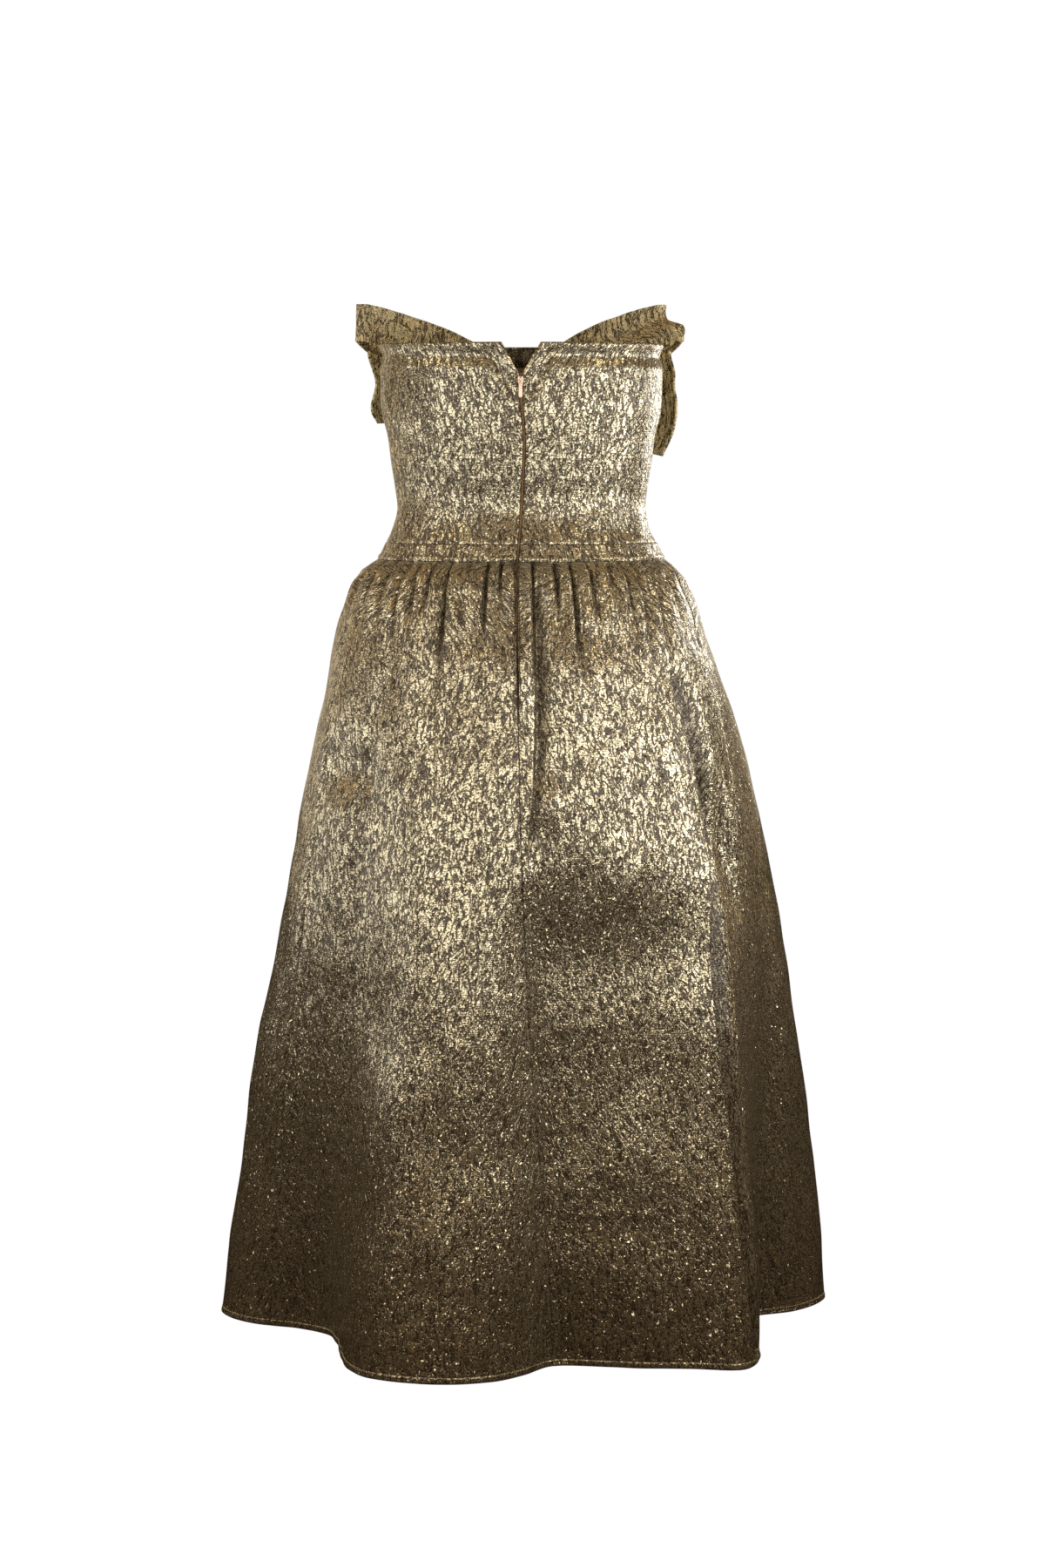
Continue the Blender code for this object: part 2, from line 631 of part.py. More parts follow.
def make_slider(metal, parent):
    """Flat plate that rides on the chain, with a bridge that the tab hangs from."""
    x, y, z = slider_place()
    plate_face = y - BRIDGE_HOLE_DEPTH / 2
    bridge_shape = bmesh.new()
    root = plate_face - PLATE_THICK / 2
    hole = plate_face + BRIDGE_HOLE_DEPTH
    shoulder, crown = hole + BRIDGE_SHOULDER, hole + BRIDGE_BAR
    arch = [(root, -BRIDGE_HALF_TALL), (shoulder, -BRIDGE_HALF_TALL),
            (crown, -BRIDGE_HOLE_HALF_TALL), (crown, BRIDGE_HOLE_HALF_TALL),
            (shoulder, BRIDGE_HALF_TALL), (root, BRIDGE_HALF_TALL),
            (root, BRIDGE_HOLE_HALF_TALL), (hole, BRIDGE_HOLE_HALF_TALL),
            (hole, -BRIDGE_HOLE_HALF_TALL), (root, -BRIDGE_HOLE_HALF_TALL)]
    side = bridge_shape.faces.new([bridge_shape.verts.new((x - BRIDGE_HALF_WIDTH, along, z + rise))
                                   for along, rise in arch])
    grown = bmesh.ops.extrude_face_region(bridge_shape, geom=[side])["geom"]
    bmesh.ops.translate(bridge_shape, vec=(2 * BRIDGE_HALF_WIDTH, 0, 0),
                        verts=[item for item in grown if isinstance(item, bmesh.types.BMVert)])
    bridge = new_object("zip_bridge_shape", bridge_shape, metal, parent)
    bridge.hide_render = True
    bridge.display_type = "WIRE"
    plate = bmesh.new()
    add_box(plate, (x - PLATE_HALF_WIDTH, plate_face - PLATE_THICK, z - PLATE_HALF_TALL),
            (x + PLATE_HALF_WIDTH, plate_face, z + PLATE_HALF_TALL))
    corners = [edge for edge in plate.edges
               if abs(edge.verts[0].co.y - edge.verts[1].co.y) > PLATE_THICK / 2]
    bmesh.ops.bevel(plate, geom=corners, offset=PLATE_CORNER, segments=3,
                    profile=0.5, affect="EDGES", material=-1)
    slider = new_object("zip_slider", plate, metal, parent)
    joined = slider.modifiers.new("bridge", "BOOLEAN")
    joined.operation = "UNION"
    joined.object = bridge


def make_pull(metal, hinge):
    """Pull tab: a flat drop-shaped plate with a window at the top, hanging on the bridge."""
    half_bar = TAB_THICK / 2
    shape = bmesh.new()
    window = [TabPoint(TAB_WINDOW_HALF_WIDTH, half_bar),
              TabPoint(TAB_WINDOW_HALF_WIDTH, half_bar + TAB_WINDOW_TALL)]

    def ring(points):
        loop = points + [TabPoint(-point.half_width, point.below) for point in reversed(points)]
        verts = [shape.verts.new((point.half_width, -half_bar, -point.below)) for point in loop]
        return [shape.edges.new((verts[i - 1], verts[i])) for i in range(len(verts))]

    edges = ring(TAB) + ring(window)
    bmesh.ops.triangle_fill(shape, use_beauty=True, edges=edges)
    grown = bmesh.ops.extrude_face_region(shape, geom=shape.faces[:])
    bmesh.ops.translate(shape, vec=(0, TAB_THICK, 0), verts=[
        item for item in grown["geom"] if isinstance(item, bmesh.types.BMVert)])
    tab = new_object("zip_pull", shape, metal, hinge)
    tab.matrix_parent_inverse.identity()
    return tab


# ---------------------------------------------------------------- bow


def bow_point(hand, from_front, z, stand_off):
    """Point in front of the bodice: hand is 1 for the wearer's left and -1 for the right."""
    angle = 270.0 + hand * from_front
    x, y, _ = bodice_point(angle, z)
    half_width, front = at_height(BODICE, "half_width", z), at_height(BODICE, "front", z)
    normal = (x / half_width ** 2, y / front ** 2)
    length = math.hypot(*normal)
    return x + stand_off * normal[0] / length, y + stand_off * normal[1] / length, z


def station_value(table, column, share):
    return smooth_curve([(row.share, getattr(row, column)) for row in table], share)


def loop_wall(hand, word):
    """A loop: one strip that runs out from the knot and folds back, so it is a U from above."""
    out_and_back = [(row.share, 1) for row in LOOP] + [(row.share, -1) for row in reversed(LOOP)]
    rows = []
    for row in range(LOOP_ROWS + 1):
        down = row / LOOP_ROWS
        pairs = []
        for index, (share, layer) in enumerate(out_and_back):
            z = mix(station_value(LOOP, "high", share), station_value(LOOP, "low", share), down)
            tip_z = mix(LOOP[-1].high, LOOP[-1].low, down)
            angle = mix(LOOP_ROOT, at_height(BOW_ENDS, "loop_" + word, tip_z), share)
            wave = math.sin(2 * math.pi * LOOP_RIPPLES * down)
            ripple = LOOP_RIPPLE_DEPTH * (1.0 - ease(share)) * wave
            middle = station_value(LOOP, "stand_off", share) + ripple
            puff = station_value(LOOP, "half_puff", share)
            pairs.append((bow_point(hand, angle, z, middle + layer * puff),
                          bow_point(hand, angle, z, middle + layer * (puff - CLOTH))))
            if index == len(LOOP) - 1:
                beyond = math.degrees(LOOP_FOLD / at_height(BODICE, "half_width", z))
                pairs.append((bow_point(hand, angle + beyond, z, middle),
                              bow_point(hand, angle + beyond / 2, z, middle)))
        rows.append(pairs)
    return cloth_wall(rows)


def tail_wall(hand, word):
    """A tail: one strip that comes out from behind the knot and is cut to a point."""
    rows = []
    for row in range(TAIL_ROWS + 1):
        pairs = []
        for station in TAIL:
            low = getattr(station, "low_" + word)
            z = mix(station.high, low, row / TAIL_ROWS)
            tip_z = mix(TAIL[-1].high, getattr(TAIL[-1], "low_" + word), row / TAIL_ROWS)
            angle = mix(TAIL_ROOT, at_height(BOW_ENDS, "tail_" + word, tip_z), station.share)
            pairs.append([bow_point(hand, angle, z, station.stand_off + out)
                          for out in (CLOTH / 2, -CLOTH / 2)])
        rows.append(pairs)
    return cloth_wall(rows)


def knot_shape():
    """The knot: a rounded block of folded cloth, seated on the bodice's centre front."""
    shape = bmesh.new()
    bmesh.ops.create_uvsphere(shape, u_segments=16, v_segments=10, radius=1.0)
    half_sizes = (KNOT_HALF_WIDTH, KNOT_HALF_DEPTH, KNOT_HALF_TALL)
    for vertex in shape.verts:
        vertex.co = [math.copysign(abs(value) ** KNOT_BOXY, value) * half
                     for value, half in zip(vertex.co, half_sizes)]
        vertex.co.z += KNOT_HEIGHT
    clearances = []
    for x, y, z in [vertex.co for vertex in shape.verts]:
        degrees = math.degrees(math.asin(x / at_height(BODICE, "half_width", z)))
        clearances.append(bodice_point(270.0 + degrees, z)[1] - y)
    bmesh.ops.translate(shape, verts=shape.verts[:], vec=(0, min(clearances) - SEAM_GAP, 0))
    return shape


def make_bow(cloth, parent):
    for hand, word in ((1, "left"), (-1, "right")):
        new_object("bow_loop_" + word, loop_wall(hand, word), cloth, parent)
        new_object("bow_tail_" + word, tail_wall(hand, word), cloth, parent)
    new_object("bow_knot", knot_shape(), cloth, parent)


# ---------------------------------------------------------------- the whole dress


def new_empty(name, place):
    empty = bpy.data.objects.new(name, None)
    empty.empty_display_size = 0.02
    empty.location = place
    bpy.context.scene.collection.objects.link(empty)
    return empty


def build_dress():
    for item in list(bpy.data.objects):
        bpy.data.objects.remove(item)
    cloth = new_material("gold_crinkle_cloth", (0.42, 0.32, 0.17), 0.38, 0.85)
    tape_cloth = new_material("brown_zip_tape", (0.13, 0.075, 0.035), 0.85, 0.0)
    coil = new_material("brown_zip_coil", (0.22, 0.13, 0.06), 0.45, 0.0)
    pull_metal = new_material("rose_gold_zip_metal", (0.75, 0.52, 0.36), 0.30, 1.0)
    dress = new_empty("dress", (0.0, 0.0, 0.0))
    hinge = new_empty("zip_pull_hinge", slider_place())
    bpy.context.view_layer.update()
    make_bodice(cloth, dress)
    make_waistband(cloth, dress)
    make_skirt(cloth, dress)
    make_zip(tape_cloth, coil, dress)
    make_slider(pull_metal, dress)
    make_pull(pull_metal, hinge)
    make_bow(cloth, dress)


build_dress()
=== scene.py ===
# %% [markdown]
# # A strapless midi dress in crinkled gold cloth
#
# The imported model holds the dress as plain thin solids. This lesson dresses those solids up: it
# repeats the same form at a much finer spacing, presses in the seams, gathers and creases, sews
# the hem, adds the teeth of the zip, and gives each surface a finish. The frame is the model's
# own: metres, +Z up, front towards -Y, the wearer's left towards +X, the waist seam at z = 0.

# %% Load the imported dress
import math
from collections import namedtuple

import bmesh
import bpy
import numpy as np
from mathutils import Matrix, Vector, noise


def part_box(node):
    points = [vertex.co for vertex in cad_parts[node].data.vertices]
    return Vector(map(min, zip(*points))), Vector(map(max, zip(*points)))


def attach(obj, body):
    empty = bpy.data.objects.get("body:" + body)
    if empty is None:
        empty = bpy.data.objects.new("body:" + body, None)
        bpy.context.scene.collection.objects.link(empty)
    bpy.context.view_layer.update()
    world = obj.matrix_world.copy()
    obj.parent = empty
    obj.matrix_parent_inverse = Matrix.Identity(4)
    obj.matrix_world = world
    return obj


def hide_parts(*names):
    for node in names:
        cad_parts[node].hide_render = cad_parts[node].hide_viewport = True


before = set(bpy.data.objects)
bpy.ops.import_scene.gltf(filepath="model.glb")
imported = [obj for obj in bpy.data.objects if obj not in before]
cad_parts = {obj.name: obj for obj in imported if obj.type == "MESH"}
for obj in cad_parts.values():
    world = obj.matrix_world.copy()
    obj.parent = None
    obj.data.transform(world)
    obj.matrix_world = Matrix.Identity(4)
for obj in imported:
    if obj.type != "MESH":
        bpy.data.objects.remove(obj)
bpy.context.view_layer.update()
scene = bpy.context.scene

# %% [markdown]
# ## The camera
#
# The photograph looks at the back of the dress from a few metres away, a little downwards. A
# portrait lens keeps the skirt's folds from looking swollen. The camera comes first, because
# every later step is judged through it.

# %% Camera
CAMERA_PLACE = (-0.00118, 3.6, 0.105)
CAMERA_DOWN = 4.92                       # degrees below the horizon
CAMERA_LENS = 91.14                      # millimetres, on a sensor 36 mm along its long side

camera = bpy.data.objects.new("camera", bpy.data.cameras.new("camera"))
scene.collection.objects.link(camera)
camera.data.sensor_width = 36.0
camera.data.lens = CAMERA_LENS
camera.location = CAMERA_PLACE
camera.rotation_euler = (math.radians(90.0 - CAMERA_DOWN), 0.0, math.radians(180.0))
scene.camera = camera

# %% [markdown]
# ## The form of the dress
#
# A dressmaker measures a body at a few heights. These tables do the same: a row for each height,
# and smooth curves through the rows for all the heights between them. They are the sizes of the
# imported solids, so whatever is built from them lies on those solids.

# %% Sizes of the dress
CLOTH = 0.0018                           # thickness of the cloth shells
SEAM_GAP = 0.00005                       # between two sewn pieces; a wider one would let light through
TOP_EDGE, BAND_HEIGHT, HEM = 0.1930, 0.0150, -0.6930
BAND_PROUD = 0.0005
HEM_TURN = 0.0055                        # depth of the narrow turned hem
NOTCH_BOTTOM, NOTCH_HALF_WIDTH = 0.1660, 0.0176
ZIP_HALF_GAP, ZIP_END = 0.0015, -0.1300
CUP_PROUD, CUP_ANGLE, CUP_SPREAD, CUP_HEIGHT, CUP_TALL = 0.0060, 25.0, 17.0, 0.1300, 0.0420

BodiceSection = namedtuple("BodiceSection", "z half_width back front back_seam front_seam")
BODICE = [BodiceSection(*row) for row in (
    (0.1930, 0.1282, 0.0965, 0.1120, 0.0980, 0.0700),
    (0.1760, 0.1279, 0.0960, 0.1150, 0.0905, 0.0690),
    (0.1640, 0.1276, 0.0955, 0.1170, 0.0880, 0.0680),
    (0.1338, 0.1266, 0.0935, 0.1180, 0.0830, 0.0670),
    (0.1111, 0.1214, 0.0910, 0.1120, 0.0785, 0.0640),
    (0.0946, 0.1190, 0.0885, 0.1060, 0.0750, 0.0610),
    (0.0687, 0.1151, 0.0850, 0.0950, 0.0730, 0.0570),
    (0.0522, 0.1145, 0.0840, 0.0920, 0.0720, 0.0550),
    (0.0372, 0.1160, 0.0850, 0.0920, 0.0725, 0.0550),
    (0.0246, 0.1182, 0.0880, 0.0940, 0.0737, 0.0560),
    (0.0153, 0.1222, 0.0915, 0.0965, 0.0750, 0.0570),
    (0.0000, 0.1290, 0.0965, 0.1000, 0.0780, 0.0580),
)]

SkirtSection = namedtuple("SkirtSection", "z left right back front")
SKIRT = [SkirtSection(*row) for row in (
    (0.0000, 0.1290, 0.1290, 0.0965, 0.1000),
    (-0.0060, 0.1370, 0.1355, 0.1035, 0.1065),
    (-0.0120, 0.1430, 0.1410, 0.1085, 0.1115),
    (-0.0195, 0.1490, 0.1465, 0.1130, 0.1155),
    (-0.0305, 0.1545, 0.1520, 0.1175, 0.1200),
    (-0.0460, 0.1605, 0.1590, 0.1235, 0.1260),
    (-0.0780, 0.1700, 0.1700, 0.1350, 0.1370),
    (-0.1090, 0.1760, 0.1820, 0.1450, 0.1470),
    (-0.1500, 0.1857, 0.1965, 0.1590, 0.1600),
    (-0.2190, 0.1995, 0.2150, 0.1800, 0.1800),
    (-0.2830, 0.2109, 0.2295, 0.1970, 0.1960),
    (-0.3690, 0.2257, 0.2456, 0.2160, 0.2150),
    (-0.4590, 0.2440, 0.2580, 0.2350, 0.2330),
    (-0.5520, 0.2562, 0.2666, 0.2520, 0.2490),
    (-0.6160, 0.2654, 0.2742, 0.2610, 0.2570),
    (-0.6930, 0.2739, 0.2771, 0.2700, 0.2650),
)]

SeamLine = namedtuple("SeamLine", "z left_side centre_back right_side")
SEAMS = [SeamLine(*row) for row in (
    (0.1930, 11.0, 90.0, 169.0),
    (0.1510, 11.0, 89.8, 169.0),
    (0.1050, 11.0, 91.3, 169.0),
    (0.0590, 11.0, 90.4, 169.0),
    (0.0280, 11.0, 89.5, 169.0),
    (0.0000, 11.0, 88.5, 169.0),
    (-0.0250, 15.0, 88.6, 165.0),
    (-0.0800, 19.0, 88.9, 161.0),
    (-0.2400, 20.0, 89.9, 160.0),
    (-0.4200, 18.0, 92.2, 162.0),
    (-0.5750, 16.0, 95.4, 165.0),
    (-0.6930, 14.0, 97.2, 168.0),
)]

# %% [markdown]
# The skirt hangs in large folds and starts in small gathers. A fold is a place on the plan: its
# bearing at the hem, the bearing it starts from, and its distance from the axis at the hem. A
# gather is a groove under the waist seam: its bearing, its depth, and how far down it runs.

# %% Folds and gathers
Fold = namedtuple("Fold", "hem_angle top_angle hem_radius")
FOLDS = [Fold(*row) for row in (
    (2.0, 4.0, 0.2734), (11.7, 16.0, 0.2437), (18.4, 30.0, 0.2129), (29.0, 46.0, 0.1962),
    (40.0, 52.0, 0.2124), (50.0, 58.0, 0.2442), (56.0, 62.0, 0.2690), (65.0, 67.0, 0.2935),
    (78.0, 77.0, 0.2890), (85.0, 84.0, 0.2750), (90.0, 89.0, 0.2520), (96.5, 94.5, 0.2180),
    (107.0, 103.0, 0.2263), (116.0, 115.0, 0.2490), (123.0, 127.0, 0.2690), (130.0, 138.0, 0.2990),
    (137.0, 144.0, 0.2840), (150.0, 150.0, 0.2350), (165.0, 160.0, 0.2060), (175.0, 170.0, 0.2130),
    (181.0, 178.0, 0.2520), (194.0, 192.0, 0.2917), (206.0, 204.0, 0.2480), (218.0, 216.0, 0.2200),
    (231.0, 231.0, 0.2500), (245.0, 245.0, 0.2870), (258.0, 258.0, 0.2600), (270.0, 270.0, 0.2350),
    (283.0, 283.0, 0.2600), (297.0, 297.0, 0.2880), (311.0, 311.0, 0.2450), (325.0, 325.0, 0.2150),
    (340.0, 340.0, 0.2500), (352.0, 352.0, 0.2730),
)]
FOLD_TOP, FOLD_GROWTH = -0.0900, 1.15

Gather = namedtuple("Gather", "angle depth length")
BACK_GATHERS = [Gather(*row) for row in (
    (22.0, 0.0040, 0.060), (32.0, 0.0045, 0.050), (41.0, 0.0050, 0.070), (48.5, 0.0055, 0.060),
    (54.0, 0.0045, 0.045), (61.5, 0.0065, 0.120), (70.0, 0.0025, 0.020), (77.0, 0.0060, 0.080),
    (82.5, 0.0045, 0.040), (94.5, 0.0080, 0.280), (103.5, 0.0050, 0.060), (109.5, 0.0060, 0.110),
    (117.0, 0.0050, 0.050), (126.0, 0.0035, 0.025), (132.5, 0.0045, 0.060), (138.5, 0.0050, 0.070),
    (147.0, 0.0060, 0.090), (158.0, 0.0040, 0.060),
)]
FRONT_SIDE_GATHERS = [Gather(*row) for row in (
    (180.0, 0.0040, 0.050), (191.0, 0.0045, 0.070), (348.0, 0.0045, 0.060), (359.0, 0.0040, 0.050),
)]
LONGEST_FRONT_GATHER = 0.110
GATHER_START, GATHER_DEEPEST = 0.35, 0.0130
GROOVE_SHARE, TROUGH_SHARE, GROOVE_POWER = 0.32, 0.50, 2.0
PUFF, PUFF_LENGTH = 0.0028, 0.1000

# %% [markdown]
# ## Curves through the tables
#
# Every surface below is worked out with whole rows of points at a time, as numpy arrays. One
# row of the skirt has hundreds of points, and a loop over single points would be slow.

# %% Curve helpers


def mix(start, end, share):
    return start + (end - start) * share


def ease(share):
    """0 to 1 with a flat start and a flat end."""
    share = np.clip(share, 0.0, 1.0)
    return share * share * (3.0 - 2.0 * share)


def bump(distance, width):
    """1 at no distance, falling smoothly to 0 at the width."""
    return 1.0 - ease(np.abs(distance) / width)


def near_edge(distance, width):
    """1 at an edge, falling evenly to 0 at the width."""
    return 1.0 - np.clip(distance / width, 0.0, 1.0)


def lengths_along(points):
    """Distance of each point from the first one of its row, along the row."""
    steps = np.linalg.norm(np.diff(points, axis=-2), axis=-1)
    start = np.zeros(steps.shape[:-1] + (1,))
    return np.concatenate([start, np.cumsum(steps, axis=-1)], axis=-1)


def bearing_of(places):
    return np.degrees(np.arctan2(places[..., 1], places[..., 0])) % 360.0


def smooth_curve(points, where):
    """Values at where on a smooth curve through (position, value) points, positions rising."""
    at, value = (np.array(column, float) for column in zip(*points))
    slope = np.empty_like(value)
    slope[1:-1] = (value[2:] - value[:-2]) / (at[2:] - at[:-2])
    slope[0] = (value[1] - value[0]) / (at[1] - at[0])
    slope[-1] = (value[-1] - value[-2]) / (at[-1] - at[-2])
    where = np.clip(where, at[0], at[-1])
    index = np.clip(np.searchsorted(at, where) - 1, 0, len(at) - 2)
    span = at[index + 1] - at[index]
    share = (where - at[index]) / span
    square, cube = share ** 2, share ** 3
    return ((2 * cube - 3 * square + 1) * value[index] + (3 * square - 2 * cube) * value[index + 1]
            + (cube - 2 * square + share) * span * slope[index]
            + (cube - square) * span * slope[index + 1])


def at_height(table, column, z):
    """One column of a table whose rows run downwards, at height z."""
    return smooth_curve([(row.z, getattr(row, column)) for row in reversed(table)], z)


def waves(places, size, stretch=(1.0, 1.0, 1.0)):
    """Smooth chance waves between about -0.5 and 0.5 at places, the same on every run."""
    spots = (places / (size * np.array(stretch))).reshape(-1, 3)
    found = [noise.noise(Vector(spot)) for spot in spots]
    return np.array(found).reshape(places.shape[:-1])


Wave = namedtuple("Wave", "depth size tall shift")


def wave_relief(places, wave):
    """Soft waves of the cloth. Tall stretches them upwards, and shift picks other chance values."""
    return wave.depth * waves(places + wave.shift, wave.size, (1.0, 1.0, wave.tall))


# %% [markdown]
# ## The two surfaces
#
# A point of the bodice is found from an angle round the body and a height. The skirt starts from
# the same kind of section, then the large folds scale it in and out, and the gathers press their
# grooves into it. Both take a last distance, out, which moves a point off the surface.

# %% Bodice and skirt surfaces


def angle_step(across, along, angle, distance):
    """Angle that moves a point by a short distance along its section."""
    turn = np.radians(angle)
    return np.degrees(distance / np.hypot(across * np.sin(turn), along * np.cos(turn)))


def bodice_point(angle, z, out=0.0):
    turn = np.radians(angle)
    depth = np.where(np.sin(turn) > 0, at_height(BODICE, "back", z), at_height(BODICE, "front", z))
    x, y = at_height(BODICE, "half_width", z) * np.cos(turn), depth * np.sin(turn)
    from_centre = np.abs((angle - 270.0 + 180.0) % 360.0 - 180.0)
    cup = np.exp(-((from_centre - CUP_ANGLE) / CUP_SPREAD) ** 2 - ((z - CUP_HEIGHT) / CUP_TALL) ** 2)
    grow = 1.0 + (CUP_PROUD * cup + out) / np.hypot(x, y)
    return np.stack(np.broadcast_arrays(x * grow, y * grow, z), axis=-1)


def fold_scale(bearing, z):
    """How much the large folds press the skirt in or out, at bearings round one height."""
    share = max(FOLD_TOP - z, 0.0) / (FOLD_TOP - HEM)
    rows = [(mix(fold.top_angle, fold.hem_angle, share), fold.hem_radius) for fold in FOLDS]
    rows = ([(angle - 360.0, radius) for angle, radius in rows[-3:]] + rows
            + [(angle + 360.0, radius) for angle, radius in rows[:3]])
    bearing = bearing % 360.0
    hem, turn = SKIRT[-1], np.radians(bearing)
    across = np.where(np.cos(turn) > 0, hem.left, hem.right)
    along = np.where(np.sin(turn) > 0, hem.back, hem.front)
    plain = 1.0 / np.hypot(np.cos(turn) / across, np.sin(turn) / along)
    return 1.0 + share ** FOLD_GROWTH * (smooth_curve(rows, bearing) / plain - 1.0)


WAIST = next(seam for seam in SEAMS if seam.z == 0.0)


def gather_marks(start, end):
    """Grooves between two seams, the seams themselves included with no depth."""
    front = [gather._replace(angle=360.0 - gather.angle,
                             length=min(gather.length, LONGEST_FRONT_GATHER))
             for gather in BACK_GATHERS] + FRONT_SIDE_GATHERS
    inside = sorted(gather for gather in BACK_GATHERS + front if start < gather.angle < end)
    return [Gather(start, 0.0, PUFF_LENGTH)] + inside + [Gather(end, 0.0, PUFF_LENGTH)]


SKIRT_SPANS = {
    "skirt_back_left": gather_marks(WAIST.left_side, WAIST.centre_back),
    "skirt_back_right": gather_marks(WAIST.centre_back, WAIST.right_side),
    "skirt_front": gather_marks(WAIST.right_side, WAIST.left_side + 360.0),
}


def gather_offset(marks, mark, z):
    """How far the gathers push the cloth in or out, at marks along one height."""
    angles = np.array([gather.angle for gather in marks])
    index = np.clip(np.searchsorted(angles, mark, side="right") - 1, 0, len(angles) - 2)
    share = (mark - angles[index]) / (angles[index + 1] - angles[index])
    opened = mix(GATHER_START, 1.0, ease(-z / GATHER_DEEPEST))
    spread = ease(z / ZIP_END)
    reach, power = mix(GROOVE_SHARE, TROUGH_SHARE, spread), mix(GROOVE_POWER, 1.0, spread)
    offset = PUFF * np.sin(np.pi * share) * opened * (1.0 - ease(-z / PUFF_LENGTH))
    depth = np.array([gather.depth * (1.0 - ease(-z / gather.length)) for gather in marks])
    for beside, away in ((depth[index], share), (depth[index + 1], 1.0 - share)):
        offset -= beside * np.maximum(1.0 - away / reach, 0.0) ** power * opened
    return offset


def skirt_point(piece, mark, z, out=0.0):
    """Points of a skirt piece at one height. A mark is a column's angle on the waist seam."""
    marks = SKIRT_SPANS[piece]
    left_side, centre_back, right_side = (
        at_height(SEAMS, column, z) for column in ("left_side", "centre_back", "right_side"))
    start, end = {"skirt_back_left": (left_side, centre_back),
                  "skirt_back_right": (centre_back, right_side),
                  "skirt_front": (right_side, left_side + 360.0)}[piece]
    share = (mark - marks[0].angle) / (marks[-1].angle - marks[0].angle)
    left, right, back, front = (at_height(SKIRT, column, z)
                                for column in ("left", "right", "back", "front"))
    turn = np.radians(mix(start, end, share))
    x = np.where(np.cos(turn) > 0, left, right) * np.cos(turn)
    y = np.where(np.sin(turn) > 0, back, front) * np.sin(turn)
    radius = np.hypot(x, y)
    full = radius * fold_scale(np.degrees(np.arctan2(y, x)), z) + gather_offset(marks, mark, z)
    grow = (full + out) / radius
    return np.stack(np.broadcast_arrays(x * grow, y * grow, z), axis=-1)


# %% [markdown]
# ## Finishes
#
# The cloth is woven from brown yarn and flat pale-gold foil, then shrunk so that it blisters. Its
# look comes from small things: the foil is tilted a little differently every millimetre, so bright
# and dark specks lie side by side; broader puckers and a net of fine cracks run through it, and the
# cracks are darker, partly the brown yarn showing there and partly painted shade of the crevices;
# fine ribs run across it. One node group gives all of this to both faces of the cloth, on the
# cloth's own flat map in metres, so the pattern follows the folds.

# %% Shader helpers


def add_node(tree, kind, **settings):
    """Adds a node. Settings are its own properties, or sockets or values for its inputs."""
    node = tree.nodes.new(kind)
    for name, value in settings.items():
        if hasattr(node, name):
            setattr(node, name, value)
            continue
        socket = node.inputs[name.replace("_", " ").title()]
        if isinstance(value, bpy.types.NodeSocket):
            tree.links.new(value, socket)
        else:
            socket.default_value = value
    return node


def add_maths(tree, kind, operation, *values):
    """A maths node on sockets or plain values, in their order."""
    node = add_node(tree, kind, operation=operation)
    for socket, value in zip(node.inputs, values):
        if isinstance(value, bpy.types.NodeSocket):
            tree.links.new(value, socket)
        else:
            socket.default_value = value
    return node.outputs[0]


def maths(tree, operation, *values):
    return add_maths(tree, "ShaderNodeMath", operation, *values)


def vector_maths(tree, operation, *values):
    return add_maths(tree, "ShaderNodeVectorMath", operation, *values)


def ramp(tree, value, low, high):
    """0 at low and below, 1 at high and above, smooth between them."""
    return add_node(tree, "ShaderNodeMapRange", interpolation_type="SMOOTHSTEP", Value=value,
                    From_Min=low, From_Max=high).outputs["Result"]


def blend_colours(tree, share, dark, light):
    return add_node(tree, "ShaderNodeMix", data_type="RGBA", Factor=share, A=(*dark, 1.0),
                    B=(*light, 1.0)).outputs["Result"]


def new_material(name):
    material = bpy.data.materials.new(name)
    material.use_nodes = True
    return material, material.node_tree, material.node_tree.nodes["Principled BSDF"]


# %% [markdown]
# Each patch of a Voronoi pattern gets a chance colour, and the Normal Map node reads that colour
# as a tilt. One patch in four is tilted much further, and sparkles where the rest of the cloth
# is dark. The puckers and the cracks are noise stretched along the length of the cloth. All
# heights are in metres, so the bump node needs no guessing.

# %% Crinkled cloth group
LIVELY_FROM, LIVELY_TO, LIVELY_MORE, PLAIN_TILT = 0.74, 0.92, 5.0, 0.9
ALONG_CLOTH = (1.0, 0.42, 1.0)
CRACK_FROM, CRACK_TO = 0.012, 0.085      # how far the noise is from its middle, in the crack and out
BEND_REACH, BEND_SCALE = 0.004, 260.0    # a fine noise bends the sides of the patches
GRAIN_SCALE, GRAIN_FROM, GRAIN_TO = 620.0, 0.37, 0.63
RIB_DEPTH = 0.00003
WAVE_SCALE = 0.31416                     # a Wave texture of this scale has one band for each unit


def make_group(name, inputs, outputs):
    group = bpy.data.node_groups.new(name, "ShaderNodeTree")
    for socket, value in inputs:
        kind = "NodeSocketVector" if value is None else "NodeSocketFloat"
        made = group.interface.new_socket(socket, in_out="INPUT", socket_type=kind)
        if value is not None:
            made.default_value = value
    for socket, kind in outputs:
        group.interface.new_socket(socket, in_out="OUTPUT", socket_type=kind)
    return group, group.nodes.new("NodeGroupInput").outputs, group.nodes.new("NodeGroupOutput").inputs


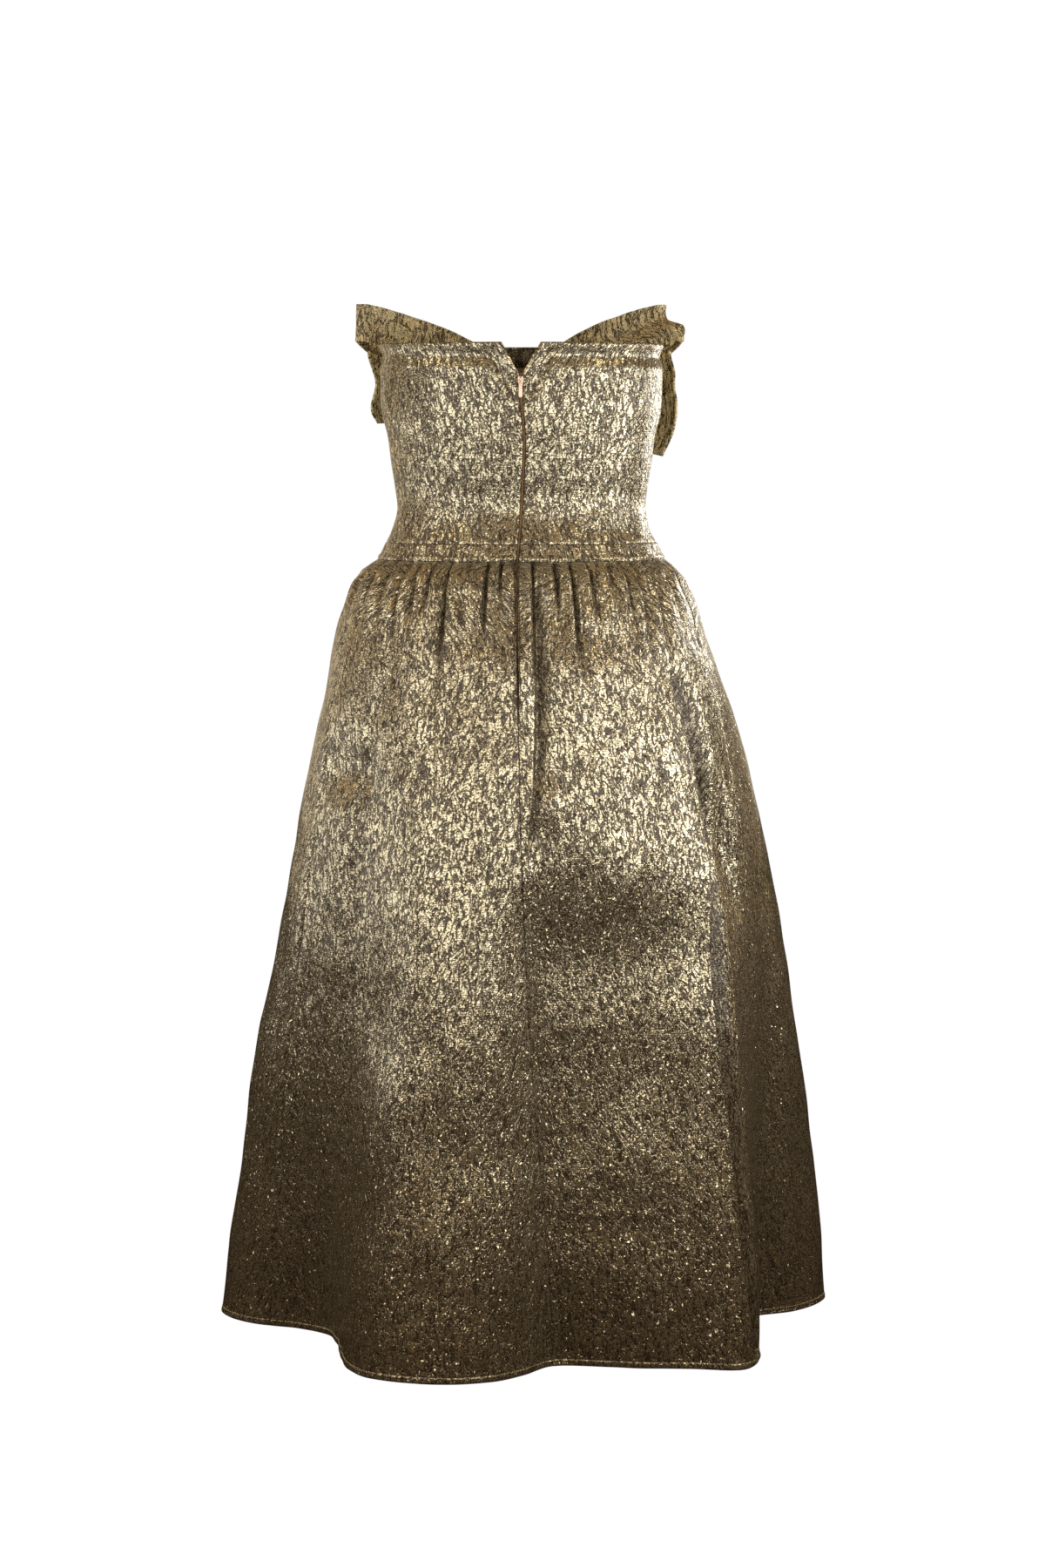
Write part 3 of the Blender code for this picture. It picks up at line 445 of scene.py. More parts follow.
def crinkle_group():
    group, given, result = make_group(
        "crinkled_cloth",
        [("Vector", None), ("Cell Size", 0.0013), ("Tilt", 0.1), ("Crack Size", 0.0055),
         ("Crack Depth", 0.0001), ("Pucker Size", 0.0080), ("Pucker Depth", 0.0003),
         ("Rib Spacing", 0.0016)],
        [("Normal", "NodeSocketVector"), ("Foil And Painted Crack Shade", "NodeSocketFloat"), ("Grain", "NodeSocketFloat")])
    flat, link = given["Vector"], group.links.new

    bend = add_node(group, "ShaderNodeTexNoise", Vector=flat, Scale=BEND_SCALE, Detail=1.0)
    bent = vector_maths(group, "MULTIPLY_ADD", bend.outputs["Color"], (BEND_REACH, BEND_REACH, 0.0), flat)
    patches = add_node(group, "ShaderNodeTexVoronoi", feature="F1", Vector=bent,
                       Scale=maths(group, "DIVIDE", 1.0, given["Cell Size"])).outputs["Color"]
    chance = add_node(group, "ShaderNodeSeparateColor", Color=patches)
    lively = ramp(group, chance.outputs["Blue"], LIVELY_FROM, LIVELY_TO)
    tilt = maths(group, "MULTIPLY", maths(group, "MULTIPLY_ADD", lively, LIVELY_MORE, PLAIN_TILT),
                 given["Tilt"])
    tilted = add_node(group, "ShaderNodeVectorMath", operation="SCALE", Scale=tilt,
                      Vector=vector_maths(group, "SUBTRACT", patches, (0.5, 0.5, 0.5))).outputs[0]
    facing = vector_maths(group, "MULTIPLY_ADD", tilted, (1.0, 1.0, 0.0), (0.5, 0.5, 1.0))
    facets = add_node(group, "ShaderNodeNormalMap", space="TANGENT", uv_map="flat", Color=facing)

    stretched = vector_maths(group, "MULTIPLY", flat, ALONG_CLOTH)
    pucker = add_node(group, "ShaderNodeTexNoise", Vector=stretched, Detail=1.0, Roughness=0.5,
                      Distortion=0.5, Scale=maths(group, "DIVIDE", 1.0, given["Pucker Size"]))
    cracks = add_node(group, "ShaderNodeTexNoise", Vector=stretched, Detail=3.0, Roughness=0.62,
                      Distortion=0.6, Scale=maths(group, "DIVIDE", 1.0, given["Crack Size"]))
    # Cracks: lower in the relief, and darker in colour, where the brown yarn shows and the crevices' shade is
    # painted in
    beside_crack = maths(group, "ABSOLUTE", maths(group, "SUBTRACT", cracks.outputs["Fac"], 0.5))
    plate = ramp(group, beside_crack, CRACK_FROM, CRACK_TO)
    ribs = add_node(group, "ShaderNodeTexWave", wave_type="BANDS", bands_direction="Y", Vector=flat,
                    Distortion=1.2, Detail=1.0, Detail_Scale=0.6,
                    Scale=maths(group, "DIVIDE", WAVE_SCALE, given["Rib Spacing"])).outputs["Fac"]
    height = maths(group, "MULTIPLY_ADD", pucker.outputs["Fac"], given["Pucker Depth"],
                   maths(group, "MULTIPLY", plate, given["Crack Depth"]))
    relief = add_node(group, "ShaderNodeBump", Strength=1.0, Distance=1.0, Normal=facets.outputs["Normal"],
                      Height=maths(group, "MULTIPLY_ADD", ribs, RIB_DEPTH, height))
    link(relief.outputs["Normal"], result["Normal"])

    grain = add_node(group, "ShaderNodeTexNoise", Vector=flat, Scale=GRAIN_SCALE, Detail=1.0).outputs["Fac"]
    link(grain, result["Grain"])
    specks = maths(group, "MULTIPLY_ADD", ramp(group, grain, GRAIN_FROM, GRAIN_TO), 0.92, 0.16)
    shown = maths(group, "MULTIPLY_ADD", ribs, 0.16, specks)
    # The foil shown: fine specks and ribs, less in the cracks, partly brown yarn and partly painted shade
    link(maths(group, "MULTIPLY", shown, maths(group, "MULTIPLY_ADD", plate, 0.95, 0.06)), result["Foil And Painted Crack Shade"])
    return group


CRINKLE = crinkle_group()

# %% [markdown]
# The right side of the cloth is mostly foil. Its wrong side shows the brown yarn, with a little
# foil coming through, and is nearly matt. The bow shows both faces of its strips, and looks softer
# and warmer than the rest. Deep in a gather, a fold or a seam little light reaches the cloth, and that
# shade is painted: the shells below carry an attribute which hides part of the foil there.

# %% Cloth materials
FOIL_GOLD, BOW_GOLD, YARN_BROWN = (0.95, 0.855, 0.59), (1.0, 0.84, 0.47), (0.036, 0.018, 0.006)
# How much of the foil the painted shade hides, where the cloth lies deepest
PAINTED_SHADE_STRENGTH = 0.82


def cloth_material(name, foil_share, roughness, tilt, crack_depth, pucker_depth, gold=FOIL_GOLD, metal=1.0):
    material, tree, shader = new_material(name)
    crinkle = add_node(tree, "ShaderNodeGroup", node_tree=CRINKLE, Tilt=tilt, Crack_Depth=crack_depth,
                       Pucker_Depth=pucker_depth,
                       Vector=add_node(tree, "ShaderNodeUVMap", uv_map="flat").outputs["UV"]).outputs
    # Painted shade: a value per point that hides part of the foil deep in gathers, folds and seams
    painted_shade = add_node(tree, "ShaderNodeAttribute", attribute_name="painted_shade").outputs["Fac"]
    share = maths(tree, "MULTIPLY", crinkle["Foil And Painted Crack Shade"],
                  maths(tree, "MULTIPLY_ADD", painted_shade, -PAINTED_SHADE_STRENGTH * foil_share, foil_share))
    rough = maths(tree, "MULTIPLY_ADD", crinkle["Grain"], 0.10, roughness - 0.05)
    for socket, value in (("Base Color", blend_colours(tree, share, YARN_BROWN, gold)),
                          ("Metallic", maths(tree, "MULTIPLY", share, metal)), ("Roughness", rough),
                          ("Normal", crinkle["Normal"])):
        tree.links.new(value, shader.inputs[socket])
    return material


bow_cloth = cloth_material("gold_bow_cloth", 2.0, 0.40, 0.10, 0.00015, 0.0003, BOW_GOLD, 0.08)
gold_cloth = cloth_material("gold_crinkled_cloth", 1.05, 0.12, 0.09, 0.00022, 0.00035)
cloth_reverse = cloth_material("gold_cloth_wrong_side", 0.35, 0.62, 0.25, 0.0002, 0.0006)
print("cloth finishes:", bow_cloth.name, gold_cloth.name, cloth_reverse.name)

# %% [markdown]
# ## One way to lay a sheet
#
# Every piece of cloth starts as a flat grid. Its points are moved to their places on the dress, its
# map keeps the flat place of each point in metres, and a Solidify modifier gives it thickness
# towards the inside. The rows run upwards and the columns round the body, so the grid's faces
# point outwards.

# %% Cloth sheets
flat_rows = {}           # name: lengths of a sheet's rows, their heights, and its columns' rises


def new_piece(name, shape, materials):
    mesh = bpy.data.meshes.new(name)
    shape.to_mesh(mesh)
    shape.free()
    mesh.shade_smooth()
    for material in materials:
        mesh.materials.append(material)
    piece = bpy.data.objects.new(name, mesh)
    scene.collection.objects.link(piece)
    return piece


def cloth_sheet(name, places, flat, node, thick=CLOTH, finishes=(gold_cloth, cloth_reverse),
                painted_shade=None):
    """Sheet from places (rows x columns x 3) and their flat map (rows x columns x 2)."""
    rows, columns = places.shape[:2]
    shape = bmesh.new()
    bmesh.ops.create_grid(shape, x_segments=columns - 1, y_segments=rows - 1, size=0.5)
    shape.verts.ensure_lookup_table()
    for vertex, place in zip(shape.verts, places.reshape(-1, 3)):
        vertex.co = place
    layer = shape.loops.layers.uv.new("flat")
    spots = flat.reshape(-1, 2)
    for face in shape.faces:
        for corner in face.loops:
            corner[layer].uv = spots[corner.vert.index]
    # Painted shade: one value per point, darkening the cloth where it lies deep in a gather, a fold or a seam
    painted_shade_layer = shape.verts.layers.float.new("painted_shade")
    if painted_shade is not None:
        for vertex, value in zip(shape.verts, painted_shade.reshape(-1)):
            vertex[painted_shade_layer] = value
    rises = np.linalg.norm(np.diff(places, axis=0), axis=2).sum(axis=0)
    flat_rows[name] = flat[:, -1, 0] - flat[:, 0, 0], flat[:, 0, 1], rises / rises[columns // 2]
    piece = new_piece(name, shape, finishes)
    wall = piece.modifiers.new("thickness", "SOLIDIFY")
    wall.thickness = thick
    wall.offset = -1.0
    wall.material_offset = 1
    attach(piece, "dress")
    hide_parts(node)
    return piece


def flat_map(places):
    """Lays rows of points flat: distance along each row from its middle, and up the middle."""
    along = lengths_along(places)
    middle = along.shape[1] // 2
    up = lengths_along(places[:, middle])
    return np.stack([along - along[:, middle:middle + 1],
                     np.broadcast_to(up[:, None], along.shape)], axis=2)


def edge_spaced(count, width, edge_steps=(0.0004, 0.0010, 0.0017, 0.0026)):
    """Shares from 0 to 1, even in the middle and close together beside both edges."""
    edge = np.array([0.0, *edge_steps]) / width
    return np.concatenate([edge, np.linspace(edge[-1], 1.0 - edge[-1], count)[1:-1], 1.0 - edge[::-1]])


# %% [markdown]
# ## The bodice
#
# Seven panels are sewn edge to edge. Beside a seam the cloth is pulled in by the stitches, so each
# panel dips along its edges. The top edge is turned over and pressed, which leaves a rounded edge
# with a shallow hollow below it, also down both sides of the notch at the centre back. Between the
# seams the cloth isn't quite smooth: it has soft waves, and short ones just above the waistband.

# %% Bodice panels
SEAM_DIP, SEAM_DIP_WIDTH = 0.0005, 0.0026
EDGE_ROUND, EDGE_ROUND_WIDTH = 0.0008, 0.0014
EDGE_HOLLOW, EDGE_HOLLOW_AT, EDGE_HOLLOW_WIDTH = 0.0031, 0.0120, 0.0105
WAIST_HOLLOW, WAIST_HOLLOW_AT, WAIST_HOLLOW_TALL = 0.0022, 0.0310, 0.0300
BAND_DIP, BAND_DIP_TALL = 0.0006, 0.0022
BODICE_WAVES = Wave(0.0008, 0.050, 1.6, 0.0), Wave(0.0004, 0.016, 1.0, 0.7)
CRUMPLE, CRUMPLE_AT, CRUMPLE_TALL = Wave(0.0026, 0.026, 1.2, 1.3), 0.020, 0.024

BodicePanel = namedtuple("BodicePanel", "name start end columns width")
BODICE_PANELS = [
    BodicePanel("bodice_side_back_left", "left_side", "back_seam_left", 26, 0.065),
    BodicePanel("bodice_back_left", "back_seam_left", "centre_back", 38, 0.085),
    BodicePanel("bodice_back_right", "centre_back", "back_seam_right", 38, 0.085),
    BodicePanel("bodice_side_back_right", "back_seam_right", "right_side", 26, 0.065),
    BodicePanel("bodice_side_front_right", "right_side", "front_seam_right", 38, 0.105),
    BodicePanel("bodice_front", "front_seam_right", "front_seam_left", 48, 0.125),
    BodicePanel("bodice_side_front_left", "front_seam_left", "left_side", 38, 0.105),
]
BAND_PANELS = [
    BodicePanel("waistband_back_left", "left_side", "centre_back", 56, 0.150),
    BodicePanel("waistband_back_right", "centre_back", "right_side", 56, 0.150),
    BodicePanel("waistband_front", "right_side", "left_side", 130, 0.410),
]


def seam_edge(z, which, side):
    """Angle of a bodice piece's edge beside a seam: side is -1 before the seam, 1 after it."""
    half_width = at_height(BODICE, "half_width", z)
    half_gap = SEAM_GAP / 2
    if which == "centre_back":
        angle = at_height(SEAMS, which, z)
        opening = np.maximum(z - NOTCH_BOTTOM, 0.0) / (TOP_EDGE - NOTCH_BOTTOM)
        half_gap = mix(ZIP_HALF_GAP, NOTCH_HALF_WIDTH, opening)
    elif which in ("left_side", "right_side"):
        angle = at_height(SEAMS, which, z)
    else:
        table_column, hand = which.rsplit("_", 1)
        turn = np.degrees(np.arccos(at_height(BODICE, table_column, z) / half_width))
        angle = {"back_seam_left": turn, "back_seam_right": 180.0 - turn,
                 "front_seam_left": 360.0 - turn, "front_seam_right": 180.0 + turn}[which]
    depth = at_height(BODICE, "back" if np.all(angle % 360.0 < 180.0) else "front", z)
    return angle + side * angle_step(half_width, depth, angle, half_gap)


def panel_grid(panel, heights):
    """Angles (rows x columns) of a bodice panel, and its heights as a column."""
    z = np.asarray(heights)[:, None]
    first, last = seam_edge(z, panel.start, 1), seam_edge(z, panel.end, -1)
    last = np.where(last < first, last + 360.0, last)
    return mix(first, last, edge_spaced(panel.columns, panel.width)[None, :]), z


def seam_dip(places):
    """The stitches of the seams at both ends of a row pull the cloth in."""
    along = lengths_along(places)
    nearest = np.minimum(along, along[..., -1:] - along)
    return -SEAM_DIP * near_edge(nearest, SEAM_DIP_WIDTH) ** 2


def notch_distance(places):
    """Distance of each point from the bodice's top edge or the slanted edge of the notch."""
    below = TOP_EDGE - places[..., 2]
    slope = NOTCH_HALF_WIDTH / (TOP_EDGE - NOTCH_BOTTOM)
    centre = bodice_point(90.0, TOP_EDGE)[0]
    aside = np.abs(places[..., 0] - centre) - ZIP_HALF_GAP
    slanted = (aside - slope * (places[..., 2] - NOTCH_BOTTOM)) / math.hypot(1.0, slope)
    at_back = places[..., 1] > 0.0
    return np.where(at_back, np.minimum(below, np.maximum(slanted, 0.0)), below)


def bodice_relief(places):
    """How far the cloth of a bodice panel lies off its plain surface."""
    top, above_band = notch_distance(places), places[..., 2] - BAND_HEIGHT
    relief = seam_dip(places) - EDGE_ROUND * near_edge(top, EDGE_ROUND_WIDTH) ** 2
    relief -= EDGE_HOLLOW * bump(top - EDGE_HOLLOW_AT, EDGE_HOLLOW_WIDTH)
    relief -= WAIST_HOLLOW * bump(above_band - WAIST_HOLLOW_AT, WAIST_HOLLOW_TALL)
    relief -= BAND_DIP * near_edge(above_band, BAND_DIP_TALL) ** 2
    relief += sum(wave_relief(places, wave) for wave in BODICE_WAVES)
    return relief + wave_relief(places, CRUMPLE) * bump(above_band - CRUMPLE_AT, CRUMPLE_TALL)


BOTTOM_STEPS = np.array([0.0, 0.0004, 0.0010, 0.0018])
TOP_STEPS = np.array([0.0, 0.0003, 0.0007, 0.0012, 0.0018, 0.0028])
BODICE_HEIGHTS = np.concatenate([
    BAND_HEIGHT + SEAM_GAP + BOTTOM_STEPS,
    np.linspace(BAND_HEIGHT + 0.0032, TOP_EDGE - 0.0040, 84), (TOP_EDGE - TOP_STEPS)[::-1]])

bodice_pieces = []
for panel in BODICE_PANELS:
    angles, z = panel_grid(panel, BODICE_HEIGHTS)
    plain = bodice_point(angles, z)
    places = bodice_point(angles, z, bodice_relief(plain))
    bodice_pieces.append(cloth_sheet(panel.name + "_cloth", places, flat_map(plain), panel.name))
print("bodice:", len(bodice_pieces), "panels")

# %% [markdown]
# ## The waistband
#
# A narrow straight band, smoother than the panels because it is pressed flat over its turnings.
# Its lower edge rolls outwards over the gathers, and catches the light as a thin line.

# %% Waistband
BAND_ROLL, BAND_ROLL_AT, BAND_ROLL_TALL = 0.0012, 0.0028, 0.0030
BAND_TOP_DIP, BAND_TOP_DIP_TALL = 0.0008, 0.0015
BAND_WAVE = Wave(0.0006, 0.012, 1.0, 0.0)
BAND_STEPS = np.array([0.0, 0.0003, 0.0007, 0.0012, 0.0018, 0.0026, 0.0040])
BAND_HEIGHTS = np.concatenate([BAND_STEPS, np.linspace(0.0055, BAND_HEIGHT - 0.0026, 6),
                               BAND_HEIGHT - BAND_STEPS[3::-1]])

band_pieces = []
for panel in BAND_PANELS:
    angles, z = panel_grid(panel, BAND_HEIGHTS)
    plain = bodice_point(angles, z, BAND_PROUD)
    relief = seam_dip(plain) + BAND_ROLL * bump(z - BAND_ROLL_AT, BAND_ROLL_TALL)
    relief -= BAND_TOP_DIP * near_edge(BAND_HEIGHT - z, BAND_TOP_DIP_TALL) ** 2
    places = bodice_point(angles, z, BAND_PROUD + relief + wave_relief(plain, BAND_WAVE))
    band_pieces.append(cloth_sheet(panel.name + "_cloth", places, flat_map(plain), panel.name))
print("waistband:", len(band_pieces), "panels")

# %% [markdown]
# ## The skirt
#
# The front and the two halves of the back are gathered into the waist seam. Besides the grooves
# of the table, the stitches pinch the cloth into pleats a few millimetres wide that die out within
# two or three centimetres. Lower down the cloth has soft waves, a few short creases across, and a
# narrow turned hem with a line of stitches.

# %% Creases and hollows of the skirt
PLEAT_DEPTH, PLEAT_LENGTH, WAIST_RADIUS = 0.0032, 0.024, 0.12
CRUSH, CRUSH_LENGTH = Wave(0.0030, 0.0085, 6.0, 2.1), 0.055
SLOW_WAVE, QUICK_WAVE = Wave(0.0026, 0.055, 2.2, 0.0), Wave(0.0011, 0.020, 1.9, 0.9)
BESIDE_ZIP, LEAST_BESIDE_ZIP = 0.0125, -0.0012      # deeper relief there would bare the zip's tapes
HEM_THICK, HEM_STEP, HEM_EDGE_DIP, HEM_STITCH_DIP, HEM_DIP_TALL = 0.0005, 0.0008, 0.0008, 0.0007, 0.0010
SKIRT_PIECES = [("skirt_back_left", 22), ("skirt_back_right", 22), ("skirt_front", 11)]

# A crease across: its bearing and height, its reach to each side in degrees, its width, how far it
# stands out, and how much higher its end is than its middle.
Crease = namedtuple("Crease", "bearing z half_length half_width depth slope")
CREASES = [Crease(*row) for row in (
    (105.0, -0.4010, 13.0, 0.0030, 0.0012, 0.004), (111.0, -0.5610, 15.0, 0.0050, 0.0016, 0.0),
    (129.0, -0.5720, 3.5, 0.0030, 0.0014, 0.0), (79.5, -0.1950, 8.0, 0.0012, -0.0007, -0.004),
    (59.8, -0.1240, 1.6, 0.0090, -0.0016, 0.0), (54.0, -0.4700, 9.0, 0.0040, 0.0010, 0.006),
    (240.0, -0.3600, 12.0, 0.0035, 0.0012, 0.005), (287.0, -0.5200, 14.0, 0.0045, 0.0014, -0.006),
    (262.0, -0.2050, 8.0, 0.0016, -0.0007, 0.003), (318.0, -0.4100, 10.0, 0.0035, 0.0011, 0.0),
)]

# A hollow is a broad soft dent, and a negative depth makes a swelling. In the upper half of a deep one
# the cloth faces down, away from the lights, and shows as a large dark area.
Hollow = namedtuple("Hollow", "bearing z half_bearing half_height depth")
HOLLOWS = [Hollow(*row) for row in (
    (111.0, -0.3350, 25.0, 0.0500, 0.0118), (108.0, -0.4350, 22.0, 0.0950, 0.0185),
    (30.0, -0.1850, 11.0, 0.0260, 0.0100), (120.0, -0.0450, 9.0, 0.0160, -0.0020),
    (100.0, -0.0980, 34.0, 0.0300, -0.0036), (96.6, -0.2080, 4.6, 0.0200, -0.0060),
    (108.0, -0.5650, 16.0, 0.0350, 0.0050), (100.0, -0.5100, 9.0, 0.0250, 0.0024),
    (60.0, -0.4100, 12.0, 0.0500, 0.0040), (54.0, -0.5600, 10.0, 0.0400, 0.0036),
    (75.0, -0.3000, 9.0, 0.0500, 0.0024), (80.0, -0.5000, 10.0, 0.0450, 0.0036),
    (236.0, -0.3000, 16.0, 0.0600, 0.0080), (292.0, -0.3600, 18.0, 0.0600, 0.0090),
    (262.0, -0.4700, 12.0, 0.0500, 0.0050), (330.0, -0.3300, 12.0, 0.0500, 0.0050),
    (205.0, -0.4600, 12.0, 0.0500, 0.0045), (310.0, -0.5500, 12.0, 0.0400, 0.0045),
    (270.0, -0.1000, 50.0, 0.0300, -0.0030), (151.0, -0.2500, 8.0, 0.0600, 0.0150),
)]

# A fold line runs down the skirt. Past it, on the side of larger bearings, or of smaller ones if the
# depth is negative, the cloth drops by the depth at once and comes back over the width. The ridge is
# how far it swells before the edge. Its points give height, bearing and share of the depth.
FoldLine = namedtuple("FoldLine", "depth width ridge points")
FOLD_LINES = [
    FoldLine(0.0055, 0.016, 0.0012, [(-0.270, 91.8, 0.0), (-0.236, 92.2, 0.8), (-0.190, 93.6, 1.0),
                                     (-0.100, 95.6, 0.9), (-0.030, 96.4, 0.8), (-0.003, 96.6, 0.0)]),
    FoldLine(-0.0016, 0.020, 0.0, [(-0.290, 70.5, 0.0), (-0.240, 68.0, 0.8), (-0.150, 62.5, 1.0),
                                   (-0.060, 57.0, 0.5), (-0.010, 54.5, 0.0)]),
    FoldLine(0.0150, 0.040, 0.0020, [(-0.690, 133.8, 0.7), (-0.600, 132.4, 0.6), (-0.490, 133.5, 0.6),
                                     (-0.400, 134.4, 0.7), (-0.300, 138.9, 0.9), (-0.220, 143.6, 1.0),
                                     (-0.160, 143.6, 0.8), (-0.110, 143.5, 0.4), (-0.085, 143.0, 0.0)]),
    FoldLine(-0.0030, 0.024, 0.0, [(-0.690, 48.5, 0.4), (-0.463, 43.5, 0.7), (-0.240, 40.5, 1.0),
                                   (-0.130, 41.6, 0.8), (-0.070, 44.0, 0.0)]),
    FoldLine(0.0030, 0.020, 0.0004, [(-0.690, 97.4, 0.5), (-0.560, 95.6, 0.6), (-0.400, 92.6, 0.5),
                                     (-0.270, 91.4, 0.0)]),
    FoldLine(0.0060, 0.030, 0.0010, [(-0.690, 219.0, 0.8), (-0.400, 222.0, 0.9), (-0.180, 226.0, 0.7),
                                     (-0.090, 228.0, 0.0)]),
    FoldLine(-0.0060, 0.030, 0.0010, [(-0.690, 302.0, 0.7), (-0.400, 300.0, 1.0), (-0.160, 297.0, 0.7),
                                      (-0.080, 296.0, 0.0)]),
    FoldLine(0.0035, 0.020, 0.0006, [(-0.430, 262.0, 0.0), (-0.260, 264.0, 1.0), (-0.110, 267.0, 0.8),
                                     (-0.030, 268.0, 0.0)]),
    FoldLine(-0.0050, 0.026, 0.0008, [(-0.690, 338.0, 0.6), (-0.350, 336.0, 1.0), (-0.150, 333.0, 0.6),
                                      (-0.080, 332.0, 0.0)]),
]

# %% Relief of the skirt
FOLD_EDGE, RIDGE_BEFORE, RIDGE_WIDTH = 0.0016, 0.0030, 0.0035
GROOVE_LONGER, GROOVE_LONGEST, GROOVE_DEEPER = 1.25, 0.15, 1.1
GROOVE_NARROW, GROOVE_WIDE = 0.0018, 0.0036         # half widths at the waist and at the longest end
# Each kind of relief comes in over its own height below the waist seam.
WAIST_FADE, CRUSH_FADE, FOLD_FADE, QUICK_FADE, SLOW_FADE = 0.004, 0.010, 0.02, 0.03, 0.10


def spread_marks(marks, steps):
    """Columns between the grooves of a skirt piece, each groove on a column of its own."""
    columns = [mix(before.angle, after.angle, step / steps)
               for before, after in zip(marks, marks[1:]) for step in range(steps)]
    return np.array(columns + [marks[-1].angle])


def off_seam(piece, mark, side, z, half_gap):
    """Mark beside a seam: side is 1 where the piece starts and -1 where it ends."""
    near = skirt_point(piece, np.array([mark, mark + side]), z)
    return mark + side * half_gap / np.linalg.norm(near[0] - near[1])


def crease_relief(bearing, z):
    """All the creases and hollows along one row."""
    relief = np.zeros_like(bearing)
    for crease in CREASES:
        aside = (bearing - crease.bearing) / crease.half_length
        height = (z - crease.z - crease.slope * aside) / crease.half_width
        relief += crease.depth * np.exp(-height ** 2) * (1.0 - ease(np.abs(aside)))
    for hollow in HOLLOWS:
        aside = (bearing - hollow.bearing) / hollow.half_bearing
        height = (z - hollow.z) / hollow.half_height
        relief -= hollow.depth * np.exp(-aside ** 4 - height ** 2)
    return relief


def fold_line_relief(bearing, radius, z):
    """The ridge and the drop of every fold line that passes through this height."""
    relief = np.zeros_like(bearing)
    for line in FOLD_LINES:
        if not line.points[0][0] <= z <= line.points[-1][0]:
            continue
        middle, share = (float(smooth_curve([(point[0], point[column]) for point in line.points], z))
                         for column in (1, 2))
        past = np.radians(bearing - middle) * radius * math.copysign(1.0, line.depth)
        depth = abs(line.depth) * max(share, 0.0)
        drop = ease(past / FOLD_EDGE + 0.5) * (1.0 - ease(past / line.width)) * (1.0 + past / line.width)
        relief -= depth * np.where(past > -FOLD_EDGE / 2, drop, 0.0)
        relief += line.ridge * max(share, 0.0) * np.exp(-((past + RIDGE_BEFORE) / RIDGE_WIDTH) ** 2)
    return relief


def groove_relief(gathers, marks, arc, z):
    """A crisp groove along each gather's own line, down to where the gather ends."""
    relief = np.zeros_like(arc)
    for gather in gathers[1:-1]:
        length = min(GROOVE_LONGER * gather.length, GROOVE_LONGEST)
        if -z < length:
            half_width = mix(GROOVE_NARROW, GROOVE_WIDE, -z / GROOVE_LONGEST)
            off = (arc - np.interp(gather.angle, marks, arc)) / half_width
            relief -= GROOVE_DEEPER * gather.depth * np.exp(-np.abs(off) ** 1.5) * (1.0 - ease(-z / length))
    return relief * ease(-z / WAIST_FADE)


def skirt_relief(name, marks, places, z):
    """How far the cloth of a skirt row lies off its plain surface."""
    arc, bearing = lengths_along(places), bearing_of(places)
    radius = np.hypot(places[:, 0], places[:, 1])
    waist = places * np.array([1.0, 1.0, 0.0]) * (WAIST_RADIUS / radius)[:, None]
    pleats = waves(waist, 0.0048) + 0.7 * waves(waist + 0.5, 0.0090)
    relief = seam_dip(places) + PLEAT_DEPTH * pleats * math.exp(z / PLEAT_LENGTH) * ease(-z / WAIST_FADE)
    relief += wave_relief(places, CRUSH) * math.exp(z / CRUSH_LENGTH) * ease(-z / CRUSH_FADE)
    relief += wave_relief(places, SLOW_WAVE) * ease(-z / SLOW_FADE)
    relief += wave_relief(places, QUICK_WAVE) * ease(-z / QUICK_FADE)
    relief += groove_relief(SKIRT_SPANS[name], marks, arc, z)
    relief += (crease_relief(bearing, z) + fold_line_relief(bearing, radius, z)) * ease(-z / FOLD_FADE)
    if z > ZIP_END and name != "skirt_front":
        beside_zip = arc if name == "skirt_back_right" else arc[-1] - arc
        relief = np.where(beside_zip < BESIDE_ZIP, np.maximum(relief, LEAST_BESIDE_ZIP), relief)
    above_hem = z - HEM
    relief += HEM_THICK * (1.0 - ease((above_hem - HEM_TURN) / HEM_STEP))
    relief -= HEM_STITCH_DIP * bump(above_hem - HEM_TURN, HEM_DIP_TALL)
    return relief - HEM_EDGE_DIP * near_edge(above_hem, HEM_DIP_TALL) ** 2


# Painted shade beside the seams, in the gather grooves and past the fold lines: its strength and reach
SEAM_SHADE = {"skirt_back_left": (0.2, 0.8), "skirt_back_right": (0.8, 0.2), "skirt_front": (0.2, 0.2)}
SEAM_SHADE_WIDTH, GROOVE_SHADE, FOLD_SHADE, FOLD_SHADE_DEPTH = 0.0020, 0.0034, 0.80, 0.0070


def skirt_painted_shade(name, marks, places, z):
    """0 to 1: painted shade, from how deep a row's points lie in a gather, a fold or a seam, where little
    light comes.
    """
    arc = lengths_along(places)
    painted_shade = np.clip(-groove_relief(SKIRT_SPANS[name], marks, arc, z) / GROOVE_SHADE, 0.0, 1.0)
    for shade, away in zip(SEAM_SHADE[name], (arc, arc[-1] - arc)):
        painted_shade = np.maximum(painted_shade, shade * near_edge(away, SEAM_SHADE_WIDTH))
    folded = fold_line_relief(bearing_of(places), np.hypot(places[:, 0], places[:, 1]), z)
    return np.maximum(painted_shade, FOLD_SHADE * ease(-folded / FOLD_SHADE_DEPTH))


HEM_STEPS = np.array([0.0, 0.0003, 0.0008, 0.0016, 0.0030, 0.0042, 0.0048, 0.0052, 0.0056, 0.0060,
                      0.0066, 0.0075, 0.0095])
SKIRT_ROWS = 176                         # closer together towards the gathers
ABOVE_HEM = -HEM - HEM_STEPS[-1] - 0.003
TOP_DOWN = SEAM_GAP + ABOVE_HEM * np.linspace(0.0, 1.0, SKIRT_ROWS) ** 1.25
SKIRT_HEIGHTS = np.concatenate([HEM + HEM_STEPS, -TOP_DOWN[::-1]])

